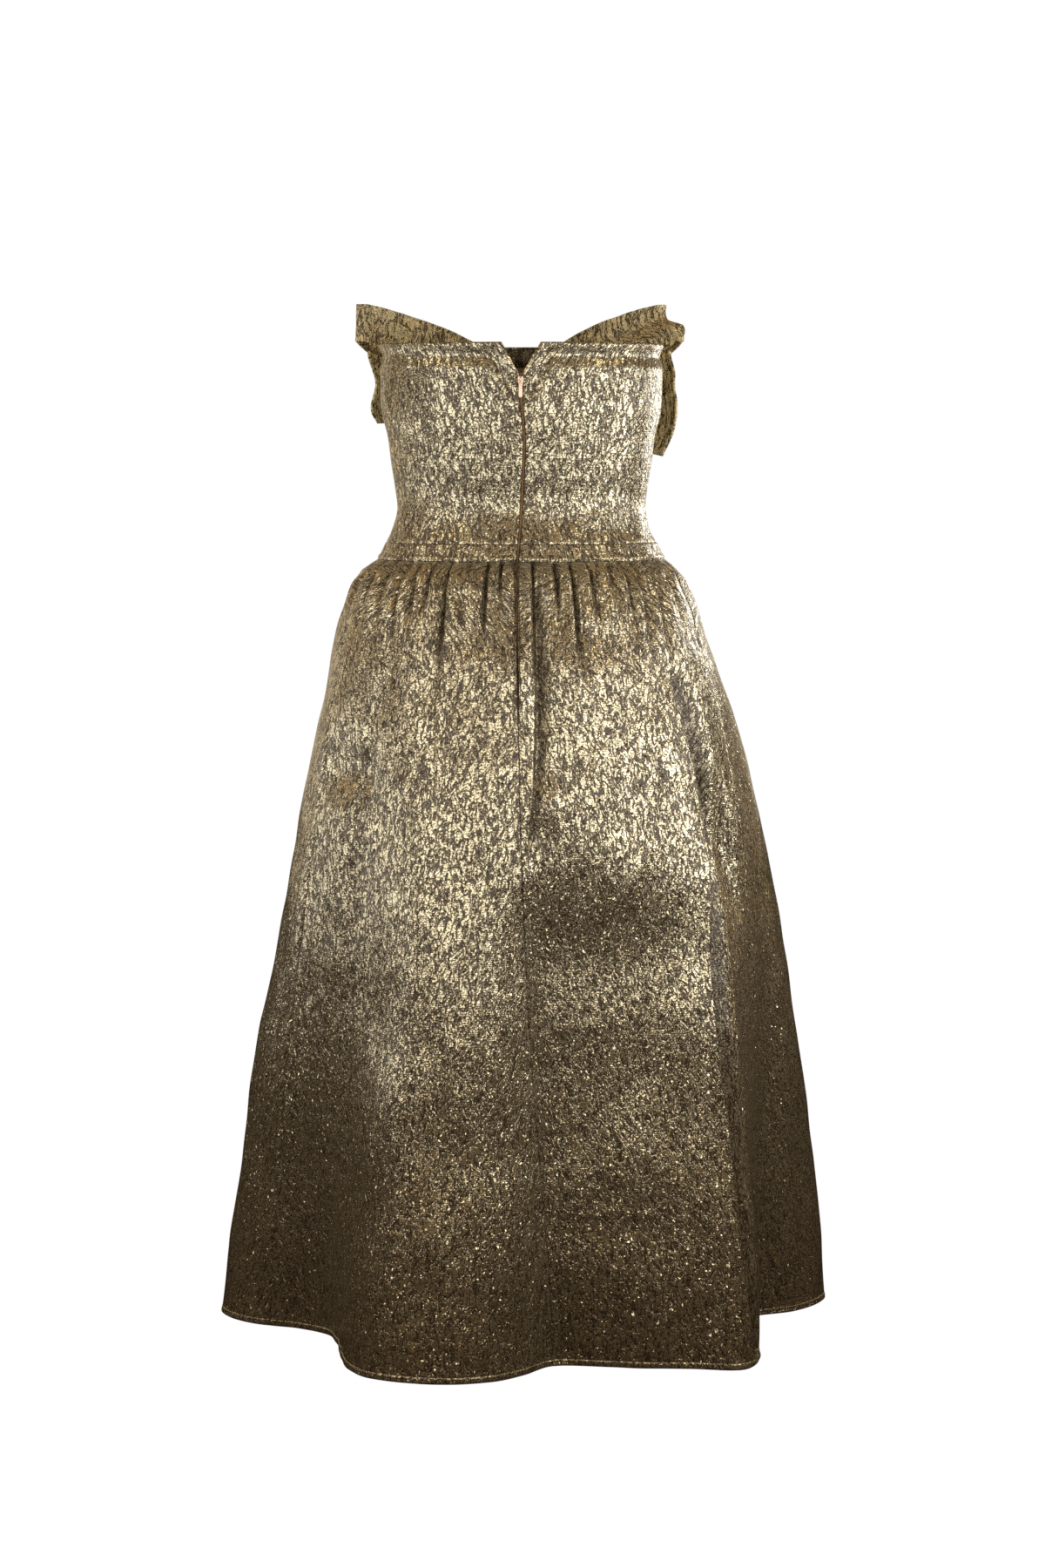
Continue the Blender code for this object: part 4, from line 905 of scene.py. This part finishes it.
skirt_pieces = []
skirt_places = {}
for name, steps in SKIRT_PIECES:
    columns = spread_marks(SKIRT_SPANS[name], steps)
    rows, painted_shade_rows = [], []
    for z in SKIRT_HEIGHTS:
        marks = columns.copy()
        for end, side, zipped_piece in ((0, 1, "skirt_back_right"), (-1, -1, "skirt_back_left")):
            zipped = name == zipped_piece and z >= ZIP_END
            marks[end] = off_seam(name, marks[end], side, z, ZIP_HALF_GAP if zipped else SEAM_GAP / 2)
        plain = skirt_point(name, marks, z)
        rows.append(skirt_point(name, marks, z, skirt_relief(name, marks, plain, z)))
        # Painted shade of this row, from its depth in gathers, folds and seams
        painted_shade_rows.append(skirt_painted_shade(name, marks, plain, z))
    places = np.array(rows)
    skirt_places[name] = places
    skirt_pieces.append(cloth_sheet(name + "_cloth", places, flat_map(places), name,
                                    painted_shade=np.array(painted_shade_rows)))
print("skirt:", [len(piece.data.polygons) for piece in skirt_pieces], "faces")

# %% [markdown]
# ## The bow
#
# The bow is made of strips of the same cloth. Each loop runs out from the knot, turns round and
# comes back, so it is a U seen from above, and the gathers that the knot presses into it fade on
# the way out. The tails are single strips that come out from under the knot. A table gives each
# of them a row for each station on the way out, like the rows of the dress above.

# %% Sizes of the bow
LoopStation = namedtuple("LoopStation", "share stand_off low high half_puff")
LOOP = [LoopStation(*row) for row in (
    (0.00, 0.0125, 0.146, 0.182, 0.0036), (0.17, 0.0190, 0.148, 0.194, 0.0090),
    (0.38, 0.0240, 0.155, 0.208, 0.0125), (0.62, 0.0280, 0.168, 0.219, 0.0130),
    (0.83, 0.0310, 0.184, 0.227, 0.0095), (1.00, 0.0330, 0.197, 0.231, 0.0048),
)]
LOOP_FOLD, LOOP_RIPPLES, LOOP_RIPPLE_DEPTH = 0.0045, 3, 0.0016
LOOP_PLEATS, LOOP_PLEAT_DEPTH = 8.0, 0.0012

TailStation = namedtuple("TailStation", "share stand_off low_left low_right high")
TAIL = [TailStation(*row) for row in (
    (0.00, 0.0016, 0.136, 0.136, 0.160), (0.23, 0.0050, 0.131, 0.125, 0.163),
    (0.46, 0.0065, 0.128, 0.114, 0.168), (0.68, 0.0095, 0.125, 0.104, 0.174),
    (0.85, 0.0150, 0.123, 0.096, 0.181), (1.00, 0.0215, 0.122, 0.092, 0.189),
)]

BowEnd = namedtuple("BowEnd", "z loop_left loop_right tail_left tail_right")
BOW_ENDS = [BowEnd(*row) for row in (
    (0.235, 65.0, 54.0, 70.0, 66.0), (0.218, 66.0, 54.5, 70.0, 66.0),
    (0.212, 66.0, 63.0, 70.0, 66.0), (0.190, 66.0, 65.0, 70.0, 67.0),
    (0.165, 66.0, 65.0, 65.5, 69.5), (0.132, 66.0, 65.0, 66.5, 74.5),
    (0.122, 66.0, 65.0, 64.5, 73.5), (0.092, 66.0, 65.0, 64.5, 68.0),
)]
LOOP_ROOT, TAIL_ROOT = 6.9, 6.8
LOOP_WAVE, TAIL_WAVE = Wave(0.0026, 0.024, 0.6, 0.0), Wave(0.0030, 0.030, 0.7, 0.0)
LOOP_HELD, TAIL_HELD = 0.85, 0.60        # share of the way out where the knot's pleats have faded
TAIL_FREE = 0.35                         # and where a tail's own waves have come in
LOOP_STEPS, LOOP_ROWS, TURN_STEPS = 64, 56, 12
TAIL_STEPS, TAIL_ROWS, TAIL_PLEATS, TAIL_PLEAT_DEPTH = 84, 48, 4.0, 0.0005

# %% Loops, tails and knot


def bow_point(hand, from_front, z, stand_off):
    """Points in front of the bodice: hand is 1 for the wearer's left and -1 for the right."""
    plain = bodice_point(270.0 + hand * from_front, z)
    across = plain[..., 0] / at_height(BODICE, "half_width", z) ** 2
    forward = plain[..., 1] / at_height(BODICE, "front", z) ** 2
    normal = np.stack([across, forward, np.zeros_like(across)], axis=-1)
    return plain + normal * (stand_off / np.hypot(across, forward))[..., None]


def station(table, column, share):
    return smooth_curve([(row.share, getattr(row, column)) for row in table], share)


def loop_places(hand, word):
    outwards, turning = np.linspace(0.0, 1.0, LOOP_STEPS), np.linspace(0.0, math.pi, TURN_STEPS + 2)[1:-1]
    straight = np.ones(LOOP_STEPS)
    share = np.concatenate([outwards, np.ones_like(turning), outwards[::-1]])
    layer = np.concatenate([straight, np.cos(turning), -straight])
    beyond = np.concatenate([0.0 * straight, np.sin(turning), 0.0 * straight])
    down = np.linspace(1.0, 0.0, LOOP_ROWS)[:, None]
    z = mix(station(LOOP, "high", share), station(LOOP, "low", share), down)
    tip_z = mix(LOOP[-1].high, LOOP[-1].low, down)
    angle = (mix(LOOP_ROOT, at_height(BOW_ENDS, "loop_" + word, tip_z), share)
             + np.degrees(LOOP_FOLD * beyond / at_height(BODICE, "half_width", z)))
    held = 1.0 - ease(share / LOOP_HELD)
    ripple = LOOP_RIPPLE_DEPTH * (1.0 - ease(share)) * np.sin(2 * math.pi * LOOP_RIPPLES * down)
    plain = bow_point(hand, angle, z, station(LOOP, "stand_off", share) + 0.0 * down)
    pleats = np.sin(2 * math.pi * LOOP_PLEATS * down + 3.0 * np.sin(5.0 * down + 2.0 * hand))
    relief = LOOP_PLEAT_DEPTH * held * pleats + wave_relief(plain, LOOP_WAVE)
    off = station(LOOP, "stand_off", share) + ripple + layer * (station(LOOP, "half_puff", share) + relief)
    return bow_point(hand, angle, z, off)[:, ::hand]


def tail_places(hand, word):
    share = np.linspace(0.0, 1.0, TAIL_STEPS)
    down = np.linspace(1.0, 0.0, TAIL_ROWS)[:, None]
    low = station(TAIL, "low_" + word, share)
    z = mix(station(TAIL, "high", share), low, down)
    tip_z = mix(TAIL[-1].high, getattr(TAIL[-1], "low_" + word), down)
    angle = mix(TAIL_ROOT, at_height(BOW_ENDS, "tail_" + word, tip_z), share)
    off = station(TAIL, "stand_off", share) + CLOTH / 2
    plain = bow_point(hand, angle, z, off + 0.0 * down)
    free, held = ease(share / TAIL_FREE), 1.0 - ease(share / TAIL_HELD)
    pleats = np.sin(2 * math.pi * TAIL_PLEATS * down + 2.0 * np.sin(4.0 * down + hand)) * held
    relief = wave_relief(plain, TAIL_WAVE) * free + TAIL_PLEAT_DEPTH * pleats
    return bow_point(hand, angle, z, off + relief)[:, ::hand]


KNOT_HALF_WIDTH, KNOT_HALF_DEPTH, KNOT_HALF_TALL, KNOT_BOXY = 0.0160, 0.0100, 0.0230, 0.6
KNOT_FOLDS, KNOT_FOLD_DEPTH = 3.5, 0.0016


def boxy(value):
    """A circle's coordinate pressed towards a rounded box."""
    return np.sign(value) * np.abs(value) ** KNOT_BOXY


def knot_places():
    """The knot's band: it comes out under the bow, passes over the front and tucks in above."""
    low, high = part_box("bow_knot")
    middle = (low + high) / 2
    side = np.radians(np.linspace(-84.0, 84.0, 60))
    wrap = np.radians(np.linspace(-118.0, 118.0, 90))[:, None]
    press = 1.0 + KNOT_FOLD_DEPTH / KNOT_HALF_DEPTH * (
        np.cos(2 * math.pi * KNOT_FOLDS * (side / 2.93 + 0.06 * np.sin(3.0 * wrap))) - 1.0) / 2
    x = KNOT_HALF_WIDTH * boxy(np.sin(side)) + 0.0 * wrap
    y = -KNOT_HALF_DEPTH * boxy(np.cos(side) * np.cos(wrap)) * press
    z = KNOT_HALF_TALL * boxy(np.cos(side) * np.sin(wrap)) * mix(1.0, press, 0.4)
    return np.stack([x + middle.x, y + middle.y, z + middle.z], axis=-1)


bow_pieces = {}
for hand, word in ((1, "left"), (-1, "right")):
    for part, places in (("loop", loop_places(hand, word)), ("tail", tail_places(hand, word))):
        node = "bow_" + part + "_" + word
        bow_pieces[node] = cloth_sheet(node + "_cloth", places, flat_map(places), node,
                                       finishes=(bow_cloth, bow_cloth))
places = knot_places()
bow_pieces["bow_knot"] = cloth_sheet("bow_knot_cloth", places, flat_map(places), "bow_knot",
                                     finishes=(bow_cloth, bow_cloth))
print("bow:", len(bow_pieces), "strips")

# %% [markdown]
# ## The zip
#
# A fine coil zip closes the centre back. Each side of it is a nylon thread bent into small loops,
# which show as bars that lock between those of the other side. A bar is a stretched sphere of few
# faces, because there are hundreds. The chain follows the seam's sway, and the two woven tapes
# lie behind it, inside the dress.

# %% Zip materials


def object_spots(tree, scale):
    """Object coordinates, stretched by a Mapping node."""
    spots = add_node(tree, "ShaderNodeTexCoord").outputs["Object"]
    return add_node(tree, "ShaderNodeMapping", Scale=scale, Vector=spots).outputs["Vector"]


def plain_material(name, dark, light, metallic, roughness, grain_size, bump_height, scale=(1.0, 1.0, 1.0)):
    """A finish whose colour, gloss and height all vary a little with one fine grain."""
    material, tree, shader = new_material(name)
    shader.inputs["Metallic"].default_value = metallic
    grain = add_node(tree, "ShaderNodeTexNoise", Scale=1.0 / grain_size, Detail=3.0,
                     Vector=object_spots(tree, scale)).outputs["Fac"]
    relief = add_node(tree, "ShaderNodeBump", Strength=1.0, Distance=1.0,
                      Height=maths(tree, "MULTIPLY", grain, bump_height))
    for socket, value in (("Base Color", blend_colours(tree, grain, dark, light)),
                          ("Roughness", maths(tree, "MULTIPLY_ADD", grain, 0.16, roughness - 0.08)),
                          ("Normal", relief.outputs["Normal"])):
        tree.links.new(value, shader.inputs[socket])
    return material


def tape_material():
    """Twill tape: diagonal ribs on the fine grain of its yarn."""
    material = plain_material("woven_zip_tape", (0.075, 0.040, 0.018), (0.150, 0.085, 0.040),
                              0.0, 0.80, 0.0006, 0.00002)
    tree = material.node_tree
    ribs = add_node(tree, "ShaderNodeTexWave", wave_type="BANDS", bands_direction="DIAGONAL",
                    Scale=WAVE_SCALE / 0.0007, Distortion=0.4,
                    Vector=add_node(tree, "ShaderNodeUVMap", uv_map="flat").outputs["UV"])
    grain_relief = next(node for node in tree.nodes if node.type == "BUMP")
    weave = add_node(tree, "ShaderNodeBump", Strength=1.0, Distance=1.0,
                     Normal=grain_relief.outputs["Normal"],
                     Height=maths(tree, "MULTIPLY", ribs.outputs["Fac"], 0.00012))
    tree.links.new(weave.outputs["Normal"], tree.nodes["Principled BSDF"].inputs["Normal"])
    return material


zip_tape = tape_material()
zip_coil = plain_material("brown_zip_coil", (0.300, 0.165, 0.075), (0.450, 0.270, 0.140),
                          0.0, 0.34, 0.0015, 0.00001)
rose_gold = plain_material("rose_gold_metal", (0.80, 0.52, 0.38), (0.92, 0.68, 0.52),
                           1.0, 0.24, 0.0020, 0.000006, (1.0, 1.0, 0.15))
pale_thread = plain_material("pale_gold_thread", (0.62, 0.50, 0.28), (0.90, 0.80, 0.55),
                             0.25, 0.42, 0.0009, 0.00004)

# %% Zip tapes and chain
TAPE_TOP, TAPE_WIDTH_DEGREES, TAPE_OUT, TAPE_THICK = 0.1720, 4.5, -0.0032, 0.0006
TOOTH_PITCH, TOOTH_SUNK, TOOTH_SPLIT = 0.0012, 0.0010, 0.00038
TOOTH_SIZE = (0.00082, 0.00046, 0.00036)


def centre_back_point(z, degrees, across, out):
    """Point near the centre back line, moved out from the face of the cloth."""
    if z >= 0.0:
        half_width, back = at_height(BODICE, "half_width", z), at_height(BODICE, "back", z)
        angle = at_height(SEAMS, "centre_back", z) + degrees
        return bodice_point(angle + angle_step(half_width, back, angle, across), z, out)
    piece = "skirt_back_right" if degrees + across >= 0.0 else "skirt_back_left"
    left, back = at_height(SKIRT, "left", z), at_height(SKIRT, "back", z)
    mark = WAIST.centre_back + degrees + angle_step(left, back, WAIST.centre_back, across)
    return skirt_point(piece, mark, z, out)


def bead_mesh(size, around, rings):
    shape = bmesh.new()
    bmesh.ops.create_uvsphere(shape, u_segments=around, v_segments=rings, radius=1.0,
                              matrix=Matrix.Diagonal((*size, 1.0)))
    mesh = bpy.data.meshes.new("bead")
    shape.to_mesh(mesh)
    shape.free()
    return mesh


def add_bead(shape, bead, place, turn=Matrix.Identity(4)):
    """Adds one more bead, turned and moved to its place."""
    copy = bead.copy()
    copy.transform(Matrix.Translation(place) @ turn)
    shape.from_mesh(copy)
    bpy.data.meshes.remove(copy)


tape_pieces = []
for side, hand in ((-1, "left"), (1, "right")):
    steps = np.linspace(0.0, side * TAPE_WIDTH_DEGREES, 7)[::side]
    heights = np.arange(ZIP_END, TAPE_TOP + 1e-9, 0.004)
    places = np.array([[centre_back_point(z, step, side * SEAM_GAP / 2 * (step == 0.0), TAPE_OUT)
                        for step in steps] for z in heights])
    tape = cloth_sheet("zip_tape_" + hand + "_cloth", places, flat_map(places), "zip_tape_" + hand,
                       TAPE_THICK, (zip_tape, zip_tape))
    tape_pieces.append(tape)

chain_shape = bmesh.new()
tooth = bead_mesh(TOOTH_SIZE, 8, 4)
tooth_heights = np.arange(ZIP_END + 0.001, NOTCH_BOTTOM - 0.001, TOOTH_PITCH)
for side in (-1, 1):
    for z in tooth_heights + TOOTH_PITCH / 2 * (side > 0):
        add_bead(chain_shape, tooth, centre_back_point(z, 0.0, side * TOOTH_SPLIT, -TOOTH_SUNK))
chain = new_piece("zip_chain_teeth", chain_shape, (zip_coil,))
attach(chain, "dress")
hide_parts("zip_chain")
print("zip:", 2 * len(tooth_heights), "teeth")

# %% [markdown]
# The slider and its pull tab are polished pinkish gold metal. Their plain shapes are right, but
# real ones have no sharp edges. So a copy of each is merged into whole faces, and its edges are
# bevelled by a tenth of a millimetre, which gives them a thin bright line.

# %% Slider and pull tab


def rounded_copy(node, name, body, edge=0.00013):
    shape = bmesh.new()
    shape.from_mesh(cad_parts[node].data)
    bmesh.ops.remove_doubles(shape, verts=shape.verts, dist=1e-6)
    bmesh.ops.dissolve_limit(shape, angle_limit=math.radians(2.0), verts=shape.verts, edges=shape.edges)
    corners = [item for item in shape.edges
               if len(item.link_faces) == 2 and item.calc_face_angle() > math.radians(25.0)]
    bmesh.ops.bevel(shape, geom=corners, offset=edge, segments=2, profile=0.5,
                    affect="EDGES", material=-1, clamp_overlap=True)
    for layer in list(shape.loops.layers.uv):
        shape.loops.layers.uv.remove(layer)
    piece = new_piece(name, shape, (rose_gold,))
    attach(piece, body)
    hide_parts(node)
    return piece


slider = rounded_copy("zip_slider", "zip_slider_polished", "dress")
pull = rounded_copy("zip_pull", "zip_pull_polished", "zip_pull_tab")
print("zip metal:", len(slider.data.polygons), "and", len(pull.data.polygons), "faces")

# %% [markdown]
# ## The hem's stitches
#
# The turned hem is sewn with a pale gold thread, a few millimetres above the edge. Each stitch is a
# short bead laid along the skirt's own row of points, so the line rises and falls with the folds.

# %% Hem stitches
STITCH_STEP, STITCH_AHEAD, STITCH_SIZE = 0.0034, 0.0008, (0.00150, 0.00042, 0.00042)
STITCH_ROW = 7                           # row of the skirt's grid that the stitches follow

stitch_shape = bmesh.new()
stitch = bead_mesh(STITCH_SIZE, 6, 4)
stitches = 0
for name, places in skirt_places.items():
    row = places[STITCH_ROW]
    along = lengths_along(row)
    spots = np.arange(STITCH_STEP / 2, along[-1], STITCH_STEP)
    line, ahead = (np.stack([np.interp(where, along, row[:, axis]) for axis in range(3)], axis=1)
                   for where in (spots, spots + STITCH_AHEAD))
    for place, forward in zip(line, ahead - line):
        turn = Vector((1.0, 0.0, 0.0)).rotation_difference(Vector(forward)).to_matrix().to_4x4()
        add_bead(stitch_shape, stitch, place, turn)
        stitches += 1
hem_thread = new_piece("hem_stitches", stitch_shape, (pale_thread,))
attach(hem_thread, "dress")
print("hem:", stitches, "stitches")

# %% [markdown]
# ## The flat cuts
#
# A dressmaker cuts each piece flat, with a centimetre of turning on every side. The rows of a
# piece's flat map give its widths. A skirt piece is a trapezoid: its lower edge is as long as the
# hem, and its upper edge is about 1.65 times the waist seam that it is gathered into. The band, the
# bow and the tapes are so narrow that they are measured up their tallest column. The band, the bow
# and the tapes are so narrow that their turnings are left out of the stated size, and are added
# only in the whole cut.

# %% Flat cuts
TURNING, FULLNESS = 0.010, 1.65


def declare_cut(piece, turning=TURNING, fullness=1.0):
    """Works out the cloth a sheet takes when cut flat, with all turnings, and returns it."""
    widths, heights, rises = flat_rows[piece.name]
    tall = heights[-1] * (1.0 if turning else rises.max())
    if fullness > 1.0:
        lower, upper = widths[0], fullness * widths[-1]
        mean, widest = (lower + upper) / 2, max(lower, upper)
    else:
        widest = widths.max()
        mean = rises.mean() * np.sum((widths[1:] + widths[:-1]) / 2 * np.diff(heights)) / tall
    mean = min(mean, widest)
    return (mean + 2 * TURNING) * (tall + 2 * TURNING)


print("flat cuts:")
whole_cut = sum(declare_cut(piece) for piece in bodice_pieces)
whole_cut += sum(declare_cut(piece, 0.0) for piece in band_pieces)
for number, piece in enumerate(skirt_pieces):
    whole_cut += declare_cut(piece, TURNING, FULLNESS)
for node, piece in bow_pieces.items():
    whole_cut += declare_cut(piece, 0.0, 1.0)
for piece in tape_pieces:
    declare_cut(piece, 0.0)
print("whole cut: %.2f m2 of gold cloth" % whole_cut)

# %% [markdown]
# ## The floor, the lights and the room
#
# Metal shows what stands around it. A ring of soft lights stands close round the dress, and faint
# ones stand before it. Behind the dress they reach from a little below the waist to a little above
# the bodice. Cloth that turns down looks under them and stays dark, and the top of a gather looks
# over them. The room is dim for reflections and white for the camera, which gives the cut-out look
# of the photograph. The renderer's denoising is switched off, because it would smear the sparkle.

# %% Lights
WARM, SOFT, COOL = (1.0, 0.62, 0.28), (1.0, 0.84, 0.60), (1.0, 0.97, 0.92)

# A panel stands at its bearing, 90 being straight behind the dress, between its two heights.
LightPanel = namedtuple("LightPanel", "bearing low high brightness colour")
RING = [LightPanel(*row) for row in (
    (345.0, -0.36, -0.04, 1.044, COOL), (345.0, 0.00, 0.20, 0.3016, WARM),
    (15.0, -0.30, 0.00, 1.276, COOL), (15.0, 0.24, 0.42, 1.508, COOL), (45.0, -0.16, 0.33, 1.566, COOL),
    (75.0, -0.15, 0.31, 1.45, COOL), (105.0, -0.15, 0.30, 1.624, COOL), (135.0, -0.15, 0.28, 2.204, COOL),
    (165.0, -0.15, 0.25, 3.016, COOL), (195.0, 0.05, 0.20, 1.392, COOL), (225.0, 0.00, 0.22, 4.176, COOL),
    (205.0, -0.36, -0.08, 0.1856, WARM), (30.0, 0.56, 0.76, 2.32, SOFT), (150.0, 0.56, 0.76, 2.32, SOFT),
)]
RING_RADIUS, RING_STEP = 0.82, 30.0
RING_WIDTH = 2 * RING_RADIUS * math.tan(math.radians(RING_STEP / 2))
FRONT = [LightPanel(bearing, -0.3, 0.6, 0.6, SOFT) for bearing in (250.0, 280.0, 312.0)]
FRONT_RADIUS, FRONT_WIDTH = 1.3, 0.68


def studio_light(name, panel, distance, width):
    """Tall soft light that faces the dress's axis."""
    light = bpy.data.lights.new(name, "AREA")
    light.shape = "RECTANGLE"
    light.size, light.size_y = width, panel.high - panel.low
    light.energy = panel.brightness * math.pi * light.size * light.size_y
    light.color = panel.colour
    item = bpy.data.objects.new(name, light)
    turn = math.radians(panel.bearing)
    item.location = (distance * math.cos(turn), distance * math.sin(turn), (panel.low + panel.high) / 2)
    item.rotation_euler = (math.radians(90.0), 0.0, turn + math.radians(90.0))
    item.visible_camera = False
    scene.collection.objects.link(item)


for panels, word, distance, width in ((RING, "ring", RING_RADIUS, RING_WIDTH),
                                      (FRONT, "front", FRONT_RADIUS, FRONT_WIDTH)):
    for panel in panels:
        studio_light(word + "_light_" + str(round(panel.bearing)), panel, distance, width)
print("lights:", len(RING), "in the ring and", len(FRONT), "in front")

# %% Floor and room
FLOOR = -1.08
FLOOR_DIM = (0.09, 0.065, 0.045)
ROOM_LOW, ROOM_HIGH = (0.036, 0.022, 0.011), (0.200, 0.120, 0.044)    # looking level, and looking up
WHITE = (1.0, 1.0, 1.0, 1.0)


def white_to_camera(tree, dim, white, output):
    """Mixes a dim surface for all other rays with a white one for the camera's."""
    seen = add_node(tree, "ShaderNodeLightPath").outputs["Is Camera Ray"]
    choose = add_node(tree, "ShaderNodeMixShader", Fac=seen)
    tree.links.new(dim.outputs[0], choose.inputs[1])
    tree.links.new(white.outputs[0], choose.inputs[2])
    tree.links.new(choose.outputs[0], tree.nodes[output].inputs["Surface"])


floor_shape = bmesh.new()
bmesh.ops.create_circle(floor_shape, cap_ends=True, segments=96, radius=6.0)
bmesh.ops.translate(floor_shape, verts=floor_shape.verts[:], vec=(0.0, 0.0, FLOOR))
floor_finish, tree = new_material("pale_floor")[:2]
floor = new_piece("floor", floor_shape, (floor_finish,))
white_to_camera(tree, add_node(tree, "ShaderNodeBsdfDiffuse", Color=(*FLOOR_DIM, 1.0)),
                add_node(tree, "ShaderNodeEmission", Strength=1.0, Color=WHITE), "Material Output")

room = bpy.data.worlds.new("room")
scene.world = room
room.use_nodes = True
tree = room.node_tree
direction = add_node(tree, "ShaderNodeTexCoord").outputs["Generated"]
upwards = add_node(tree, "ShaderNodeSeparateXYZ", Vector=direction).outputs["Z"]
dim = tree.nodes["Background"]
tree.links.new(blend_colours(tree, ramp(tree, upwards, 0.12, 0.58), ROOM_LOW, ROOM_HIGH), dim.inputs["Color"])
white_to_camera(tree, dim, add_node(tree, "ShaderNodeBackground", Strength=1.0, Color=WHITE), "World Output")
scene.view_settings.view_transform = "Standard"
scene.cycles.use_denoising = False
